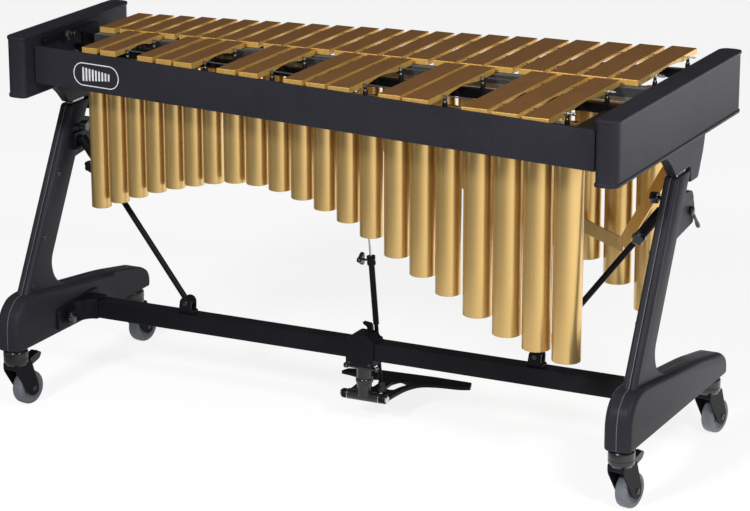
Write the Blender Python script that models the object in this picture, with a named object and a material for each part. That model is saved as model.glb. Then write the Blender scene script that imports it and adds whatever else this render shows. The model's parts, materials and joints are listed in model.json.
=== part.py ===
"""A three-octave vibraphone: two rows of metal bars over resonator tubes, on a wheeled,
height-adjustable stand with a damper pedal.

Metres, +Z up. The origin is on the floor under the middle of the stand. +X points to the
low notes, +Y to the player's side.
"""

import math
from typing import NamedTuple

import bmesh
import bpy
from mathutils import Matrix, Vector

GAP = 0.0003  # between pieces that touch

# Driving dimensions
LENGTH = 1.460  # over the two end blocks
BAR_TOP = 0.804
BAR_THICK = 0.0127
BAR_GAP = 0.0115  # between neighbouring naturals
NATURAL_WIDTHS = [0.038] * 7 + [0.0445] * 7 + [0.0495] * 3 + [0.0572] * 5
HIGHEST_EDGE = -0.6485  # outer edge of the highest bar
CORD_HEIGHT = BAR_TOP - BAR_THICK * 0.42


class Line(NamedTuple):
    """A straight line in plan, y = middle + slope * x."""

    middle: float
    slope: float

    def y(self, x):
        return self.middle + self.slope * x


NATURAL_BACK = Line(0.3107, 0.1733)
NATURAL_FRONT = Line(0.0543, 0.0298)
ACCIDENTAL_BACK = Line(0.0451, 0.0262)
ACCIDENTAL_FRONT = Line(-0.2342, -0.1374)
NATURAL_TUBES = Line(0.1800, 0.0900)
ACCIDENTAL_TUBES = Line(-0.0905, -0.0730)
DAMPER_LINE = Line(0.0497, 0.0280)
FRONT_RAIL_FACE = Line(-0.2600, -0.1180)

# A sharp sits over the boundary after each of these naturals, counted from the highest.
SHARPS_AFTER = (2, 3, 5, 6, 7, 9, 10, 12, 13, 14, 16, 17, 19, 20, 21)
NODE_SHARE = 0.224  # a bar rests where it doesn't move, this share of its length from each end

# Upper frame
BLOCK_TOP = 0.825
BLOCK_BOTTOM = 0.692
BLOCK_THICK = 0.050
BLOCK_LIP = 0.0016
BLOCK_LIP_HIGH = 0.007
INNER_FACE = LENGTH / 2 - BLOCK_THICK - GAP  # where what runs between the blocks ends
HIGH_BLOCK_HALF = 0.2212
LOW_BLOCK_HALF = 0.3522
RAIL_TOP = 0.800
RAIL_BOTTOM = 0.7187
RAIL_THICK = 0.0100
BEARER_TOP = 0.774
BEARER_HIGH = 0.020
BEARER_WIDE = 0.016
CORD_RADIUS = 0.0014

# Resonators
TUBE_TOP = 0.744
TUBE_WALL = 0.002
TUBE_FLOOR = 0.004
TUBE_SIDES = 10
TUBE_SHARE = 0.87  # of the distance from one tube to the next
SHAFT_HEIGHT = 0.752
SHAFT_RADIUS = 0.003
SPEED_OF_SOUND = 344.0
HIGHEST_NOTE = 1396.9  # hertz
# (x, height) along the arch that the front bank's lower ends follow
ARCH = (
    (-0.605, 0.421), (-0.41, 0.491), (-0.2, 0.529), (0.02, 0.482),
    (0.20, 0.392), (0.40, 0.294), (0.54, 0.258),
)

# Stand
LEG_X = 0.712
LEAN = 0.53  # the posts go this far back for each metre they rise
FOOT_HALF = 0.029
POST_HALF = 0.015
POST_DEEP = 0.078
POST_FRONT_AT_FOOT = Vector((0.0, -0.205, 0.27))
POST_TOP = 0.632
FOOT_BOTTOM = 0.1350
CASTER_Y = 0.246
WHEEL_RADIUS = 0.0375
WHEEL_WIDE = 0.028
CASTER_TRAIL = 0.034
CASTER_TURN = math.radians(10)
BEAM_HALF = 0.020
BEAM_BOTTOM = 0.150
BEAM_TOP = 0.189
PEDAL_AXIS = Vector((0.018, 0.0, 0.060))
ROD_FOOT = Vector((0.036, 0.042, 0.084))
ROD_HEAD = Vector((-0.0226, 0.049, 0.7597))

MATERIALS = {
    "gold_bar": ((0.46, 0.29, 0.12), 0.34, 1.0),
    "champagne_tube": ((0.52, 0.36, 0.17), 0.30, 1.0),
    "charcoal_coat": ((0.035, 0.034, 0.042), 0.55, 0.0),
    "black_coat": ((0.012, 0.012, 0.014), 0.45, 0.0),
    "black_rubber": ((0.015, 0.015, 0.016), 0.80, 0.0),
    "grey_tyre": ((0.16, 0.17, 0.18), 0.70, 0.0),
    "plated_steel": ((0.55, 0.55, 0.56), 0.25, 1.0),
    "brushed_aluminium": ((0.42, 0.43, 0.45), 0.35, 1.0),
    "grey_felt": ((0.10, 0.10, 0.11), 0.95, 0.0),
}


# Building helpers


def material(name):
    found = bpy.data.materials.get(name)
    if found:
        return found
    color, roughness, metallic = MATERIALS[name]
    made = bpy.data.materials.new(name)
    made.use_nodes = True
    shader = made.node_tree.nodes["Principled BSDF"]
    shader.inputs["Base Color"].default_value = (*color, 1.0)
    shader.inputs["Roughness"].default_value = roughness
    shader.inputs["Metallic"].default_value = metallic
    made.diffuse_color = (*color, 1.0)
    return made


def add(name, bm, finish, origin=(0, 0, 0)):
    """Makes a scene object from a bmesh in world coordinates, with its origin at `origin`."""
    bmesh.ops.remove_doubles(bm, verts=bm.verts, dist=1e-6)
    bmesh.ops.recalc_face_normals(bm, faces=bm.faces)
    bmesh.ops.translate(bm, verts=bm.verts, vec=-Vector(origin))
    mesh = bpy.data.meshes.new(name)
    bm.to_mesh(mesh)
    bm.free()
    mesh.materials.append(material(finish))
    mesh.shade_smooth()
    mesh.set_sharp_from_angle(angle=math.radians(35))
    made = bpy.data.objects.new(name, mesh)
    made.location = origin
    bpy.context.scene.collection.objects.link(made)
    return made


def boolean(target, bm, operation):
    """Joins a bmesh to an object, or cuts it away, with a Boolean modifier and a hidden helper."""
    helper = add(f"{target.name}_{operation.lower()}_{len(target.modifiers)}", bm, "black_coat")
    helper.hide_render = True
    helper.display_type = "WIRE"
    modifier = target.modifiers.new(operation.title(), "BOOLEAN")
    modifier.operation = operation
    modifier.solver = "EXACT"
    modifier.object = helper
    return target


def bevel(target, width, segments=1, angle=40):
    modifier = target.modifiers.new("Bevel", "BEVEL")
    modifier.width = width
    modifier.segments = segments
    modifier.limit_method = "ANGLE"
    modifier.angle_limit = math.radians(angle)
    modifier.use_clamp_overlap = True
    return target


def box(bm, low, high):
    """A box between two corners."""
    low, high = Vector(low), Vector(high)
    size = Matrix.Diagonal((*(high - low), 1))
    bmesh.ops.create_cube(bm, size=1, matrix=Matrix.Translation((low + high) / 2) @ size)
    return bm


def rod(bm, start, end, radius, sides=12, end_radius=None):
    """A cylinder, or a cone, between two points."""
    start, end = Vector(start), Vector(end)
    along = end - start
    bmesh.ops.create_cone(
        bm,
        cap_ends=True,
        segments=sides,
        radius1=radius,
        radius2=radius if end_radius is None else end_radius,
        depth=along.length,
        matrix=Matrix.Translation((start + end) / 2) @ along.to_track_quat("Z", "Y").to_matrix().to_4x4(),
    )
    return bm


def prism(bm, points, axis, low, high):
    """An outline of 2-D points pushed along an axis: (y, z) along X, (x, z) along Y, (x, y) along Z."""

    def place(a, b, depth):
        return {"X": (depth, a, b), "Y": (a, depth, b), "Z": (a, b, depth)}[axis]

    ends = [[bm.verts.new(place(a, b, depth)) for a, b in points] for depth in (low, high)]
    bm.faces.new(ends[0])
    bm.faces.new(ends[1])
    for i in range(len(points)):
        j = (i + 1) % len(points)
        bm.faces.new((ends[0][i], ends[0][j], ends[1][j], ends[1][i]))
    return bm


def turned(bm, profile, sides, place):
    """A closed outline of (radius, height) points spun about Z, then placed by a matrix."""
    rings = []
    for step in range(sides):
        angle = 2 * math.pi * step / sides
        ring = [
            bm.verts.new(place @ Vector((r * math.cos(angle), r * math.sin(angle), h)))
            for r, h in profile
        ]
        rings.append(ring)
    count = len(profile)
    for step in range(sides):
        this, following = rings[step], rings[(step + 1) % sides]
        for i in range(count):
            j = (i + 1) % count
            bm.faces.new((this[i], following[i], following[j], this[j]))
    return bm


def arc(centre, radius, start, end, steps):
    """Points on an arc, in degrees."""
    return [
        (centre[0] + radius * math.cos(a), centre[1] + radius * math.sin(a))
        for a in (math.radians(start + (end - start) * i / steps) for i in range(steps + 1))
    ]


def facing(direction):
    """The rotation that takes Z to `direction`."""
    return Vector(direction).to_track_quat("Z", "Y").to_matrix().to_4x4()


def smooth_through(points, x):
    """The height at x of a smooth curve through (x, height) points, with no overshoot between them."""
    for (x0, y0), (x1, y1) in zip(points, points[1:]):
        if x <= x1:
            break
    i = points.index((x0, y0))

    def slope(k):
        before, after = points[max(k - 1, 0)], points[min(k + 1, len(points) - 1)]
        return (after[1] - before[1]) / (after[0] - before[0])

    t = max(0.0, min(1.0, (x - x0) / (x1 - x0)))
    wide = x1 - x0
    return (
        (2 * t**3 - 3 * t**2 + 1) * y0
        + (t**3 - 2 * t**2 + t) * wide * slope(i)
        + (-2 * t**3 + 3 * t**2) * y1
        + (t**3 - t**2) * wide * slope(i + 1)
    )


# Bars


class Bar(NamedTuple):
    x: float
    width: float
    front: float
    back: float


def natural_bars():
    bars, edge = [], HIGHEST_EDGE
    for width in NATURAL_WIDTHS:
        x = edge + width / 2
        bars.append(Bar(x, width, NATURAL_FRONT.y(x), NATURAL_BACK.y(x)))
        edge += width + BAR_GAP
    return bars


def boundaries(naturals):
    """The middle of each gap between two naturals."""
    return [a.x + a.width / 2 + BAR_GAP / 2 for a in naturals[:-1]]


def accidental_bars(naturals):
    gaps = boundaries(naturals)
    bars = []
    for k in SHARPS_AFTER:
        x, width = gaps[k - 1], naturals[k].width - 0.001
        bars.append(Bar(x, width, ACCIDENTAL_FRONT.y(x), ACCIDENTAL_BACK.y(x)))
    return bars


NATURALS = natural_bars()
GAPS = boundaries(NATURALS)
ACCIDENTALS = accidental_bars(NATURALS)


def node_lines(front, back):
    """The two straight lines on which a row's bars rest."""

    def line(share):
        return Line(
            front.middle + share * (back.middle - front.middle),
            front.slope + share * (back.slope - front.slope),
        )

    return line(NODE_SHARE), line(1 - NODE_SHARE)


NATURAL_NODES = node_lines(NATURAL_FRONT, NATURAL_BACK)
ACCIDENTAL_NODES = node_lines(ACCIDENTAL_FRONT, ACCIDENTAL_BACK)


def bar_row(name, bars, lines):
    """A row of undercut bars on the two cords that run through them."""
    bm = bmesh.new()
    bottom = BAR_TOP - BAR_THICK
    for bar in bars:
        length = bar.back - bar.front
        middle = (bar.front + bar.back) / 2
        arch = [
            (middle + s * length, bottom + 0.0070 * (1 - (s / 0.235) ** 2))
            for s in (-0.235, -0.12, 0.12, 0.235)
        ]
        top = [(bar.back, BAR_TOP), (bar.front, BAR_TOP)]
        outline = [(bar.front, bottom), *arch, (bar.back, bottom), *top]
        prism(bm, outline, "X", bar.x - bar.width / 2, bar.x + bar.width / 2)
    row = add(name, bm, "gold_bar")
    cords = bmesh.new()
    start, end = bars[0].x - 0.030, bars[-1].x + 0.038
    for line in lines:
        near, far = (start, line.y(start), CORD_HEIGHT), (end, line.y(end), CORD_HEIGHT)
        rod(cords, near, far, CORD_RADIUS, sides=4)
    return boolean(row, cords, "UNION")


def bearer(name, line, posts_at):
    """A rail from block to block with the posts that carry a cord."""
    half = BEARER_WIDE / 2
    bm = bmesh.new()
    corners = [(-INNER_FACE, line.y(-INNER_FACE) - half), (INNER_FACE, line.y(INNER_FACE) - half)]
    corners += [(INNER_FACE, line.y(INNER_FACE) + half), (-INNER_FACE, line.y(-INNER_FACE) + half)]
    prism(bm, corners, "Z", BEARER_TOP - BEARER_HIGH, BEARER_TOP)
    rail = add(name, bm, "black_coat")
    posts = bmesh.new()
    post_top = CORD_HEIGHT - CORD_RADIUS - GAP
    for x in posts_at:
        y = line.y(x)
        box(posts, (x - 0.0025, y - 0.004, BEARER_TOP - 0.006), (x + 0.0025, y + 0.004, post_top))
    return boolean(rail, posts, "UNION")


def accidental_post_places():
    places = []
    for bar in ACCIDENTALS:
        for x in (bar.x - bar.width / 2 - BAR_GAP / 2, bar.x + bar.width / 2 + BAR_GAP / 2):
            if all(abs(x - other) > 0.006 for other in places):
                places.append(x)
    return places


def build_bars():
    bar_row("natural_bars", NATURALS, NATURAL_NODES)
    bar_row("accidental_bars", ACCIDENTALS, ACCIDENTAL_NODES)
    first, last = NATURALS[0], NATURALS[-1]
    outermost = first.x - first.width / 2 - BAR_GAP / 2, last.x + last.width / 2 + BAR_GAP / 2
    natural_posts = [outermost[0], *GAPS, outermost[1]]
    for place, line in zip(("front", "rear"), NATURAL_NODES):
        bearer(f"natural_bearer_{place}", line, natural_posts)
    for place, line in zip(("front", "rear"), ACCIDENTAL_NODES):
        bearer(f"accidental_bearer_{place}", line, accidental_post_places())


# Resonators


class Tube(NamedTuple):
    x: float
    y: float
    radius: float
    bottom: float


def quarter_wave_bottom(note, radius):
    """Where a closed tube ends that answers a note, `note` semitones under the highest."""
    frequency = HIGHEST_NOTE / 2 ** (note / 12)
    return TUBE_TOP - (SPEED_OF_SOUND / (4 * frequency) - 0.61 * radius)


def tube_radius(k):
    """A tube's radius, from the bar pitch at natural k."""
    return TUBE_SHARE * (NATURAL_WIDTHS[k] + BAR_GAP) / 2


def natural_tubes():
    steps_down = (0, 1, 3, 5, 7, 8, 10)  # F E D C B A G, in semitones under the F
    tubes = []
    for k, bar in enumerate(NATURALS):
        note = 12 * (k // 7) + steps_down[k % 7]
        radius = tube_radius(k)
        tubes.append(Tube(bar.x, NATURAL_TUBES.y(bar.x), radius, quarter_wave_bottom(note, radius)))
    return tubes


def accidental_tubes():
    """One tube at every boundary, also where there is no bar, with their ends along an arch."""
    return [
        Tube(x, ACCIDENTAL_TUBES.y(x), tube_radius(k), smooth_through(ARCH, x))
        for k, x in enumerate(GAPS)
    ]


def cup(bm, tube):
    """A tube open at the top and closed below."""
    r, top, bottom = tube.radius, TUBE_TOP, tube.bottom
    bore = r - TUBE_WALL
    rings = []
    for radius, height in ((r, top), (bore, top), (bore, bottom + TUBE_FLOOR), (r, bottom)):
        ring = []
        for step in range(TUBE_SIDES):
            angle = 2 * math.pi * (step + 0.5) / TUBE_SIDES
            x, y = tube.x + radius * math.cos(angle), tube.y + radius * math.sin(angle)
            ring.append(bm.verts.new((x, y, height)))
        rings.append(ring)
    top_outer, top_inner, floor_inner, end = rings
    for a, b in ((top_outer, top_inner), (top_inner, floor_inner), (end, top_outer)):
        for i in range(TUBE_SIDES):
            j = (i + 1) % TUBE_SIDES
            bm.faces.new((a[i], a[j], b[j], b[i]))
    bm.faces.new(floor_inner)
    bm.faces.new(end)


PLATE_OUT = 0.010  # from the end tube's side to its bearing plate
STRIP_SUNK = 0.0009  # how far a rail's inner face lies inside the tubes' flats
STRIP_OUT = 0.0016


def bank(name, tubes, line, short_side):
    """A bank of tubes between two flat rails, with a bearing plate for the fan shaft at each end.

    On `short_side` the rail stops at the high end's plate, clear of the belt.
    """
    bm = bmesh.new()
    for tube in tubes:
        cup(bm, tube)
    made = add(name, bm, "champagne_tube")
    flat = math.cos(math.pi / TUBE_SIDES)
    plates_at = (tubes[0].x - tubes[0].radius - PLATE_OUT, tubes[-1].x + tubes[-1].radius + PLATE_OUT)
    strips = bmesh.new()
    for side in (-1, 1):
        start = plates_at[0] if side == short_side else -INNER_FACE
        stations = [(start, tubes[0].radius)]
        stations += [(tube.x, tube.radius) for tube in tubes]
        stations += [(INNER_FACE, tubes[-1].radius)]
        near = [(x, line.y(x) + side * (r * flat - STRIP_SUNK)) for x, r in stations]
        far = [(x, line.y(x) + side * (r * flat + STRIP_OUT)) for x, r in stations]
        prism(strips, near + far[::-1], "Z", TUBE_TOP - 0.030, TUBE_TOP - 0.008)
    boolean(made, strips, "UNION")
    plates, bores = bmesh.new(), bmesh.new()
    for x, tube in zip(plates_at, (tubes[0], tubes[-1])):
        reach = tube.radius * flat + 0.0012
        low = (x - 0.0015, line.y(x) - reach, TUBE_TOP - 0.028)
        box(plates, low, (x + 0.0015, line.y(x) + reach, SHAFT_HEIGHT + 0.008))
        before, after = x - 0.01, x + 0.01
        ends = (before, line.y(before), SHAFT_HEIGHT), (after, line.y(after), SHAFT_HEIGHT)
        rod(bores, *ends, SHAFT_RADIUS + 0.0006, sides=8)
    boolean(made, plates, "UNION")
    return boolean(made, bores, "DIFFERENCE")


PULLEY_X = {"natural": -0.6715, "accidental": -0.6645}
PULLEY_RADIUS = 0.013
PULLEY_WIDE = 0.006


def fan_shaft(kind, tubes, line):
    """A shaft with its belt pulley and one flat disc for each tube that has a bar."""
    start, end = PULLEY_X[kind] - 0.006, tubes[-1].x + tubes[-1].radius + 0.016
    origin = Vector((start, line.y(start), SHAFT_HEIGHT))
    bm = rod(bmesh.new(), origin, (end, line.y(end), SHAFT_HEIGHT), SHAFT_RADIUS, sides=6)
    shaft = add(f"{kind}_fan_shaft", bm, "plated_steel", origin)
    discs = bmesh.new()
    for tube in tubes:
        reach = tube.radius - TUBE_WALL - 0.0025
        middle = Vector((tube.x, tube.y, SHAFT_HEIGHT))
        half = Vector((0, 0, 0.0007))
        rod(discs, middle - half, middle + half, reach, sides=8)
    boolean(shaft, discs, "UNION")
    centre = Vector((PULLEY_X[kind], line.y(PULLEY_X[kind]), SHAFT_HEIGHT))
    place = Matrix.Translation(centre) @ facing((1, line.slope, 0))
    return boolean(shaft, grooved(bmesh.new(), 0.0001, (0,), place), "UNION")


def grooved(bm, bore, grooves, place):
    """A pulley with a groove at each of these places along its axis."""
    half = PULLEY_WIDE / 2
    rim = []
    for middle in sorted(grooves):
        rim.append((PULLEY_RADIUS, middle - half))
        rim.append((PULLEY_RADIUS - 0.002, middle))
        rim.append((PULLEY_RADIUS, middle + half))
    profile = [(bore, rim[-1][1]), (bore, rim[0][1]), *rim]
    return turned(bm, profile, 12, place)


MOTOR_PULLEY = Vector((-0.668, 0.052, 0.668))


def belt(kind, line):
    """The belt from the motor pulley to one fan shaft's pulley."""
    x = PULLEY_X[kind]
    centres = [Vector((MOTOR_PULLEY.y, MOTOR_PULLEY.z)), Vector((line.y(x), SHAFT_HEIGHT))]
    inside = PULLEY_RADIUS + 0.0007
    loops = []
    for radius in (inside, inside + 0.0018):
        loop = []
        for here, other in (centres, centres[::-1]):
            away = math.degrees(math.atan2(here.y - other.y, here.x - other.x))
            loop += arc(here, radius, away - 90, away + 90, 6)
        loops.append(loop)
    bm = bmesh.new()
    rings = []
    for side in (-0.0015, 0.0015):
        for loop in loops:
            rings.append([bm.verts.new((x + side, *point)) for point in loop])
    count = len(rings[0])
    for a, b in ((0, 1), (1, 3), (3, 2), (2, 0)):
        for i in range(count):
            j = (i + 1) % count
            bm.faces.new((rings[a][i], rings[a][j], rings[b][j], rings[b][i]))
    return add(f"{kind}_fan_belt", bm, "black_rubber")


def build_resonators():
    naturals, accidentals = natural_tubes(), accidental_tubes()
    sounding = [accidentals[k - 1] for k in SHARPS_AFTER]
    bank("natural_resonators", naturals, NATURAL_TUBES, -1)
    bank("accidental_resonators", accidentals, ACCIDENTAL_TUBES, 1)
    fan_shaft("natural", naturals, NATURAL_TUBES)
    fan_shaft("accidental", sounding, ACCIDENTAL_TUBES)
    belt("natural", NATURAL_TUBES)
    belt("accidental", ACCIDENTAL_TUBES)
    grooves = [x - MOTOR_PULLEY.x for x in PULLEY_X.values()]
    place = Matrix.Translation(MOTOR_PULLEY) @ facing((1, 0, 0))
    pulley = grooved(bmesh.new(), SHAFT_RADIUS + GAP, grooves, place)
    add("motor_pulley", pulley, "black_coat", MOTOR_PULLEY)
    build_motor()


def build_motor():
    """The fan motor, its shaft through the motor pulley and its bracket out to the high block."""
    face = MOTOR_PULLEY.x + 0.0105
    y, z = MOTOR_PULLEY.y, MOTOR_PULLEY.z
    bm = box(bmesh.new(), (face, y - 0.027, z - 0.027), (face + 0.052, y + 0.027, z + 0.027))
    motor = bevel(add("fan_motor", bm, "black_coat"), 0.004)
    extra = bmesh.new()
    rod(extra, (MOTOR_PULLEY.x - 0.0075, y, z), (face + 0.004, y, z), SHAFT_RADIUS, sides=8)
    wall = -INNER_FACE
    box(extra, (wall, y - 0.020, z - 0.034), (face + 0.045, y + 0.020, z - 0.024))
    box(extra, (wall, y - 0.020, z - 0.034), (wall + 0.003, y + 0.020, BLOCK_BOTTOM + 0.016))
    return boolean(motor, extra, "UNION")


# Upper frame


def stadium(x_low, x_high, y_low, y_high, steps=7):
    radius = (x_high - x_low) / 2
    middle = (x_low + x_high) / 2
    far = arc((middle, y_high - radius), radius, 0, 180, steps)
    return far + arc((middle, y_low + radius), radius, 180, 360, steps)


def end_block(name, side, half):
    """A tall block with round ends and a thin lip round its top and bottom."""
    outer = LENGTH / 2
    x_low, x_high = sorted((side * (outer - BLOCK_THICK), side * outer))
    wide = stadium(x_low, x_high, -half, half)
    slim = stadium(x_low + BLOCK_LIP, x_high - BLOCK_LIP, -half + BLOCK_LIP, half - BLOCK_LIP)
    low_lip, high_lip = BLOCK_BOTTOM + BLOCK_LIP_HIGH, BLOCK_TOP - BLOCK_LIP_HIGH
    levels = [
        (wide, BLOCK_BOTTOM), (wide, low_lip), (slim, low_lip + 0.002),
        (slim, high_lip - 0.002), (wide, high_lip), (wide, BLOCK_TOP),
    ]
    bm = bmesh.new()
    rings = [[bm.verts.new((x, y, z)) for x, y in outline] for outline, z in levels]
    count = len(wide)
    for low, high in zip(rings, rings[1:]):
        for i in range(count):
            j = (i + 1) % count
            bm.faces.new((low[i], low[j], high[j], high[i]))
    bm.faces.new(rings[0])
    bm.faces.new(rings[-1])
    return add(name, bm, "charcoal_coat")


def build_upper_frame():
    end_block("end_block_high", -1, HIGH_BLOCK_HALF)
    end_block("end_block_low", 1, LOW_BLOCK_HALF)
    low, high = FRONT_RAIL_FACE.y(-INNER_FACE), FRONT_RAIL_FACE.y(INNER_FACE)
    corners = [(-INNER_FACE, low), (INNER_FACE, high)]
    corners += [(INNER_FACE, high + RAIL_THICK), (-INNER_FACE, low + RAIL_THICK)]
    rail = add("front_rail", prism(bmesh.new(), corners, "Z", RAIL_BOTTOM, RAIL_TOP), "charcoal_coat")
    bevel(rail, 0.0012)
    build_strap()
    for side, name in ((-1, "high"), (1, "low")):
        inner_post(f"inner_post_{name}", side)


def build_strap():
    """The bent flat strap that steadies the low end of the natural bank from the low post's head."""
    start, bend = Vector((0.425, 0.1755, 0.462)), Vector((0.566, 0.112, 0.440))
    end = Vector((LEG_X - HEAD_HALF - 0.013, 0.075, 0.655))
    strap = add("resonator_strap", flat_bar(start, bend, 0.003, 0.030), "champagne_tube")
    return boolean(strap, flat_bar(bend.lerp(start, 0.03), end, 0.003, 0.026), "UNION")


def flat_bar(start, end, thick, high):
    """A flat strip on edge between two points."""
    along = (end - start).normalized()
    side = along.cross(Vector((0, 0, 1))).normalized()
    frame = Matrix((side, side.cross(along), along)).transposed().to_4x4()
    size = Matrix.Diagonal((thick, high, (end - start).length, 1))
    bm = bmesh.new()
    bmesh.ops.create_cube(bm, size=1, matrix=Matrix.Translation((start + end) / 2) @ frame @ size)
    return bm


# Stand


def post_y(z, across=0.0):
    """The y of the leaning post at a height: `across` is 0 on its front face and 1 on its rear."""
    return POST_FRONT_AT_FOOT.y + LEAN * (z - POST_FRONT_AT_FOOT.z) + across * POST_DEEP


def leaning(low, high, front, rear):
    """The side outline of a piece parallel to the post between two heights."""
    below = [(post_y(low, front), low), (post_y(low, rear), low)]
    return below + [(post_y(high, rear), high), (post_y(high, front), high)]


def foot_outline(inset):
    """The foot from the side, drawn in by `inset`: a round nose, a sloping top and a round tail."""
    low = FOOT_BOTTOM + 0.3 * inset
    return [
        (-0.277 + inset, low),
        (-0.277 + inset, 0.190),
        (-0.267 + inset, 0.222 - 0.5 * inset),
        (-0.240 + 0.5 * inset, 0.246 - inset),
        (-0.200, 0.252 - inset),
        (-0.050, 0.233 - inset),
        (0.120, 0.213 - inset),
        (0.255, 0.189 - inset),
        (0.279 - 0.7 * inset, 0.175 - 0.7 * inset),
        (0.288 - inset, 0.157),
        (0.288 - inset, low),
    ]


def post_outline(inset):
    """The post from the side, with the curve that runs from its rear face onto the foot."""
    top = POST_TOP
    return [
        (post_y(0.220) + inset, 0.220),
        (-0.030 - inset, 0.220),
        (-0.030 - inset, 0.227 - inset / 2),
        (-0.075 - inset, 0.240),
        (-0.100 - inset, 0.262),
        (post_y(0.300, 1) - inset, 0.300),
        (post_y(top, 1) - inset, top),
        (post_y(top) + inset, top),
    ]


def layered(outline, layers, seam, outward):
    """Outlines drawn in by steps, joined into one solid from the seam outwards."""
    bm = bmesh.new()
    rings = [
        [bm.verts.new((seam + outward * depth, y, z)) for y, z in outline(inset)]
        for depth, inset in layers
    ]
    count = len(rings[0])
    for near, far in zip(rings, rings[1:]):
        for i in range(count):
            j = (i + 1) % count
            bm.faces.new((near[i], near[j], far[j], far[i]))
    bm.faces.new(rings[0])
    bm.faces.new(rings[-1])
    return bm


CHANNEL_HALF = 0.0085
CHANNEL_FLOOR = 0.40


def leg_shell(name, side, outward):
    """Half of a leg: foot and post in one casting, split from the other half along the seam."""
    seam = side * LEG_X
    start = GAP / 2
    foot_layers = [(start, 0), (0.017, 0), (0.0245, 0.004), (FOOT_HALF, 0.012)]
    foot = layered(foot_outline, foot_layers, seam, outward)
    shell = add(name, foot, "charcoal_coat")
    post = layered(post_outline, [(start, 0), (0.008, 0), (POST_HALF, 0.007)], seam, outward)
    boolean(shell, post, "UNION")
    if outward == side:
        boolean(shell, clamp_lug(seam, side), "UNION")
    else:
        step = bmesh.new()
        x_low, x_high = sorted((seam + outward * 0.0235, seam + outward * 0.05))
        box(step, (x_low, 0.128, 0.10), (x_high, 0.32, 0.26))
        boolean(shell, step, "DIFFERENCE")
    x_low, x_high = sorted((seam - outward * 0.01, seam + outward * CHANNEL_HALF))
    channel = prism(bmesh.new(), leaning(CHANNEL_FLOOR, POST_TOP + 0.02, 0.16, 0.84), "X", x_low, x_high)
    return boolean(shell, channel, "DIFFERENCE")


LUG_HALF = 0.0115
LEVER_PIVOT = (0.074, 0.545)


def clamp_lug(seam, side):
    """The lug behind the post's top that holds the height lever."""
    outline = [
        (post_y(0.585, 1) - 0.006, 0.585), (0.084, 0.581), (0.098, 0.560),
        (0.092, 0.517), (post_y(0.505, 1) - 0.006, 0.505),
    ]
    x_low, x_high = sorted((seam + side * GAP / 2, seam + side * LUG_HALF))
    return prism(bmesh.new(), outline, "X", x_low, x_high)


def height_lever(name, side):
    """The lever that clamps the height, on the outer face of its lug."""
    seam = side * LEG_X
    y, z = LEVER_PIVOT
    inner, outer = seam + side * (LUG_HALF + GAP), seam + side * (LUG_HALF + 0.010)
    bm = rod(bmesh.new(), (inner, y, z), (outer, y, z), 0.009, sides=10)
    lever = add(name, bm, "plated_steel", (seam, y, z))
    middle = (inner + outer) / 2
    tip = (middle, y + 0.040, z - 0.046)
    handle = rod(bmesh.new(), (middle, y, z), tip, 0.0035, sides=6, end_radius=0.0042)
    return boolean(lever, handle, "UNION")


LOCK_AT = 0.585


def lock_knob(name, side):
    """The knob on the inner face of the post that locks the inner post."""
    x = side * (LEG_X - POST_HALF - GAP)
    y = post_y(LOCK_AT, 0.5)
    bm = rod(bmesh.new(), (x, y, LOCK_AT), (x - side * 0.022, y, LOCK_AT), 0.004, sides=8)
    knob = add(name, bm, "black_coat", (x, y, LOCK_AT))
    near, far = (x - side * 0.014, y, LOCK_AT), (x - side * 0.032, y, LOCK_AT)
    return boolean(knob, rod(bmesh.new(), near, far, 0.0125, sides=10, end_radius=0.010), "UNION")


HEAD_HALF = 0.0105


def inner_post(name, side):
    """The sliding post inside the leg and the gusset that carries the end block."""
    seam = side * LEG_X
    slider = prism(bmesh.new(), leaning(0.415, 0.655, 0.20, 0.80), "X", seam - 0.0075, seam + 0.0075)
    post = add(name, slider, "brushed_aluminium")
    top = BLOCK_BOTTOM - GAP
    gusset = [
        (-0.090, top), (0.155, top), (0.118, 0.604), (0.074, 0.604),
        (0.072, 0.638), (-0.012, 0.638), (-0.034, 0.662),
    ]
    boolean(post, prism(bmesh.new(), gusset, "X", seam - HEAD_HALF, seam + HEAD_HALF), "UNION")
    return post


BRACKET_STUB = 0.640


def beam_bracket(name, side):
    """The casting that joins the foot's inner face to the end of the beam."""
    face = LEG_X - FOOT_HALF - GAP
    plate = box(bmesh.new(), *mirrored(side, (face - 0.006, -0.125, 0.1445), (face, 0.045, 0.2005)))
    bracket = add(name, plate, "black_coat")
    reach = face - 0.003
    web = [
        (BRACKET_STUB, -0.024), (BRACKET_STUB, 0.024), (reach, 0.024),
        (reach, -0.118), (0.668, -0.105), (0.655, -0.070),
    ]
    web = [(side * x, y) for x, y in web]
    return boolean(bracket, prism(bmesh.new(), web, "Z", 0.1475, 0.1935), "UNION")


def mirrored(side, low, high):
    """A box's two corners, mirrored to the other end of the stand where side is -1."""
    if side > 0:
        return low, high
    return (-high[0], *low[1:]), (-low[0], *high[1:])


CLEVIS = Vector((0.420, 0.004, 0.2110))
BRACE_TOP = Vector((0.686, 0.010, 0.556))  # far enough back for the tubes to pass as they rise
SLEEVE_FROM = 0.80  # share of the way up the brace


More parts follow.
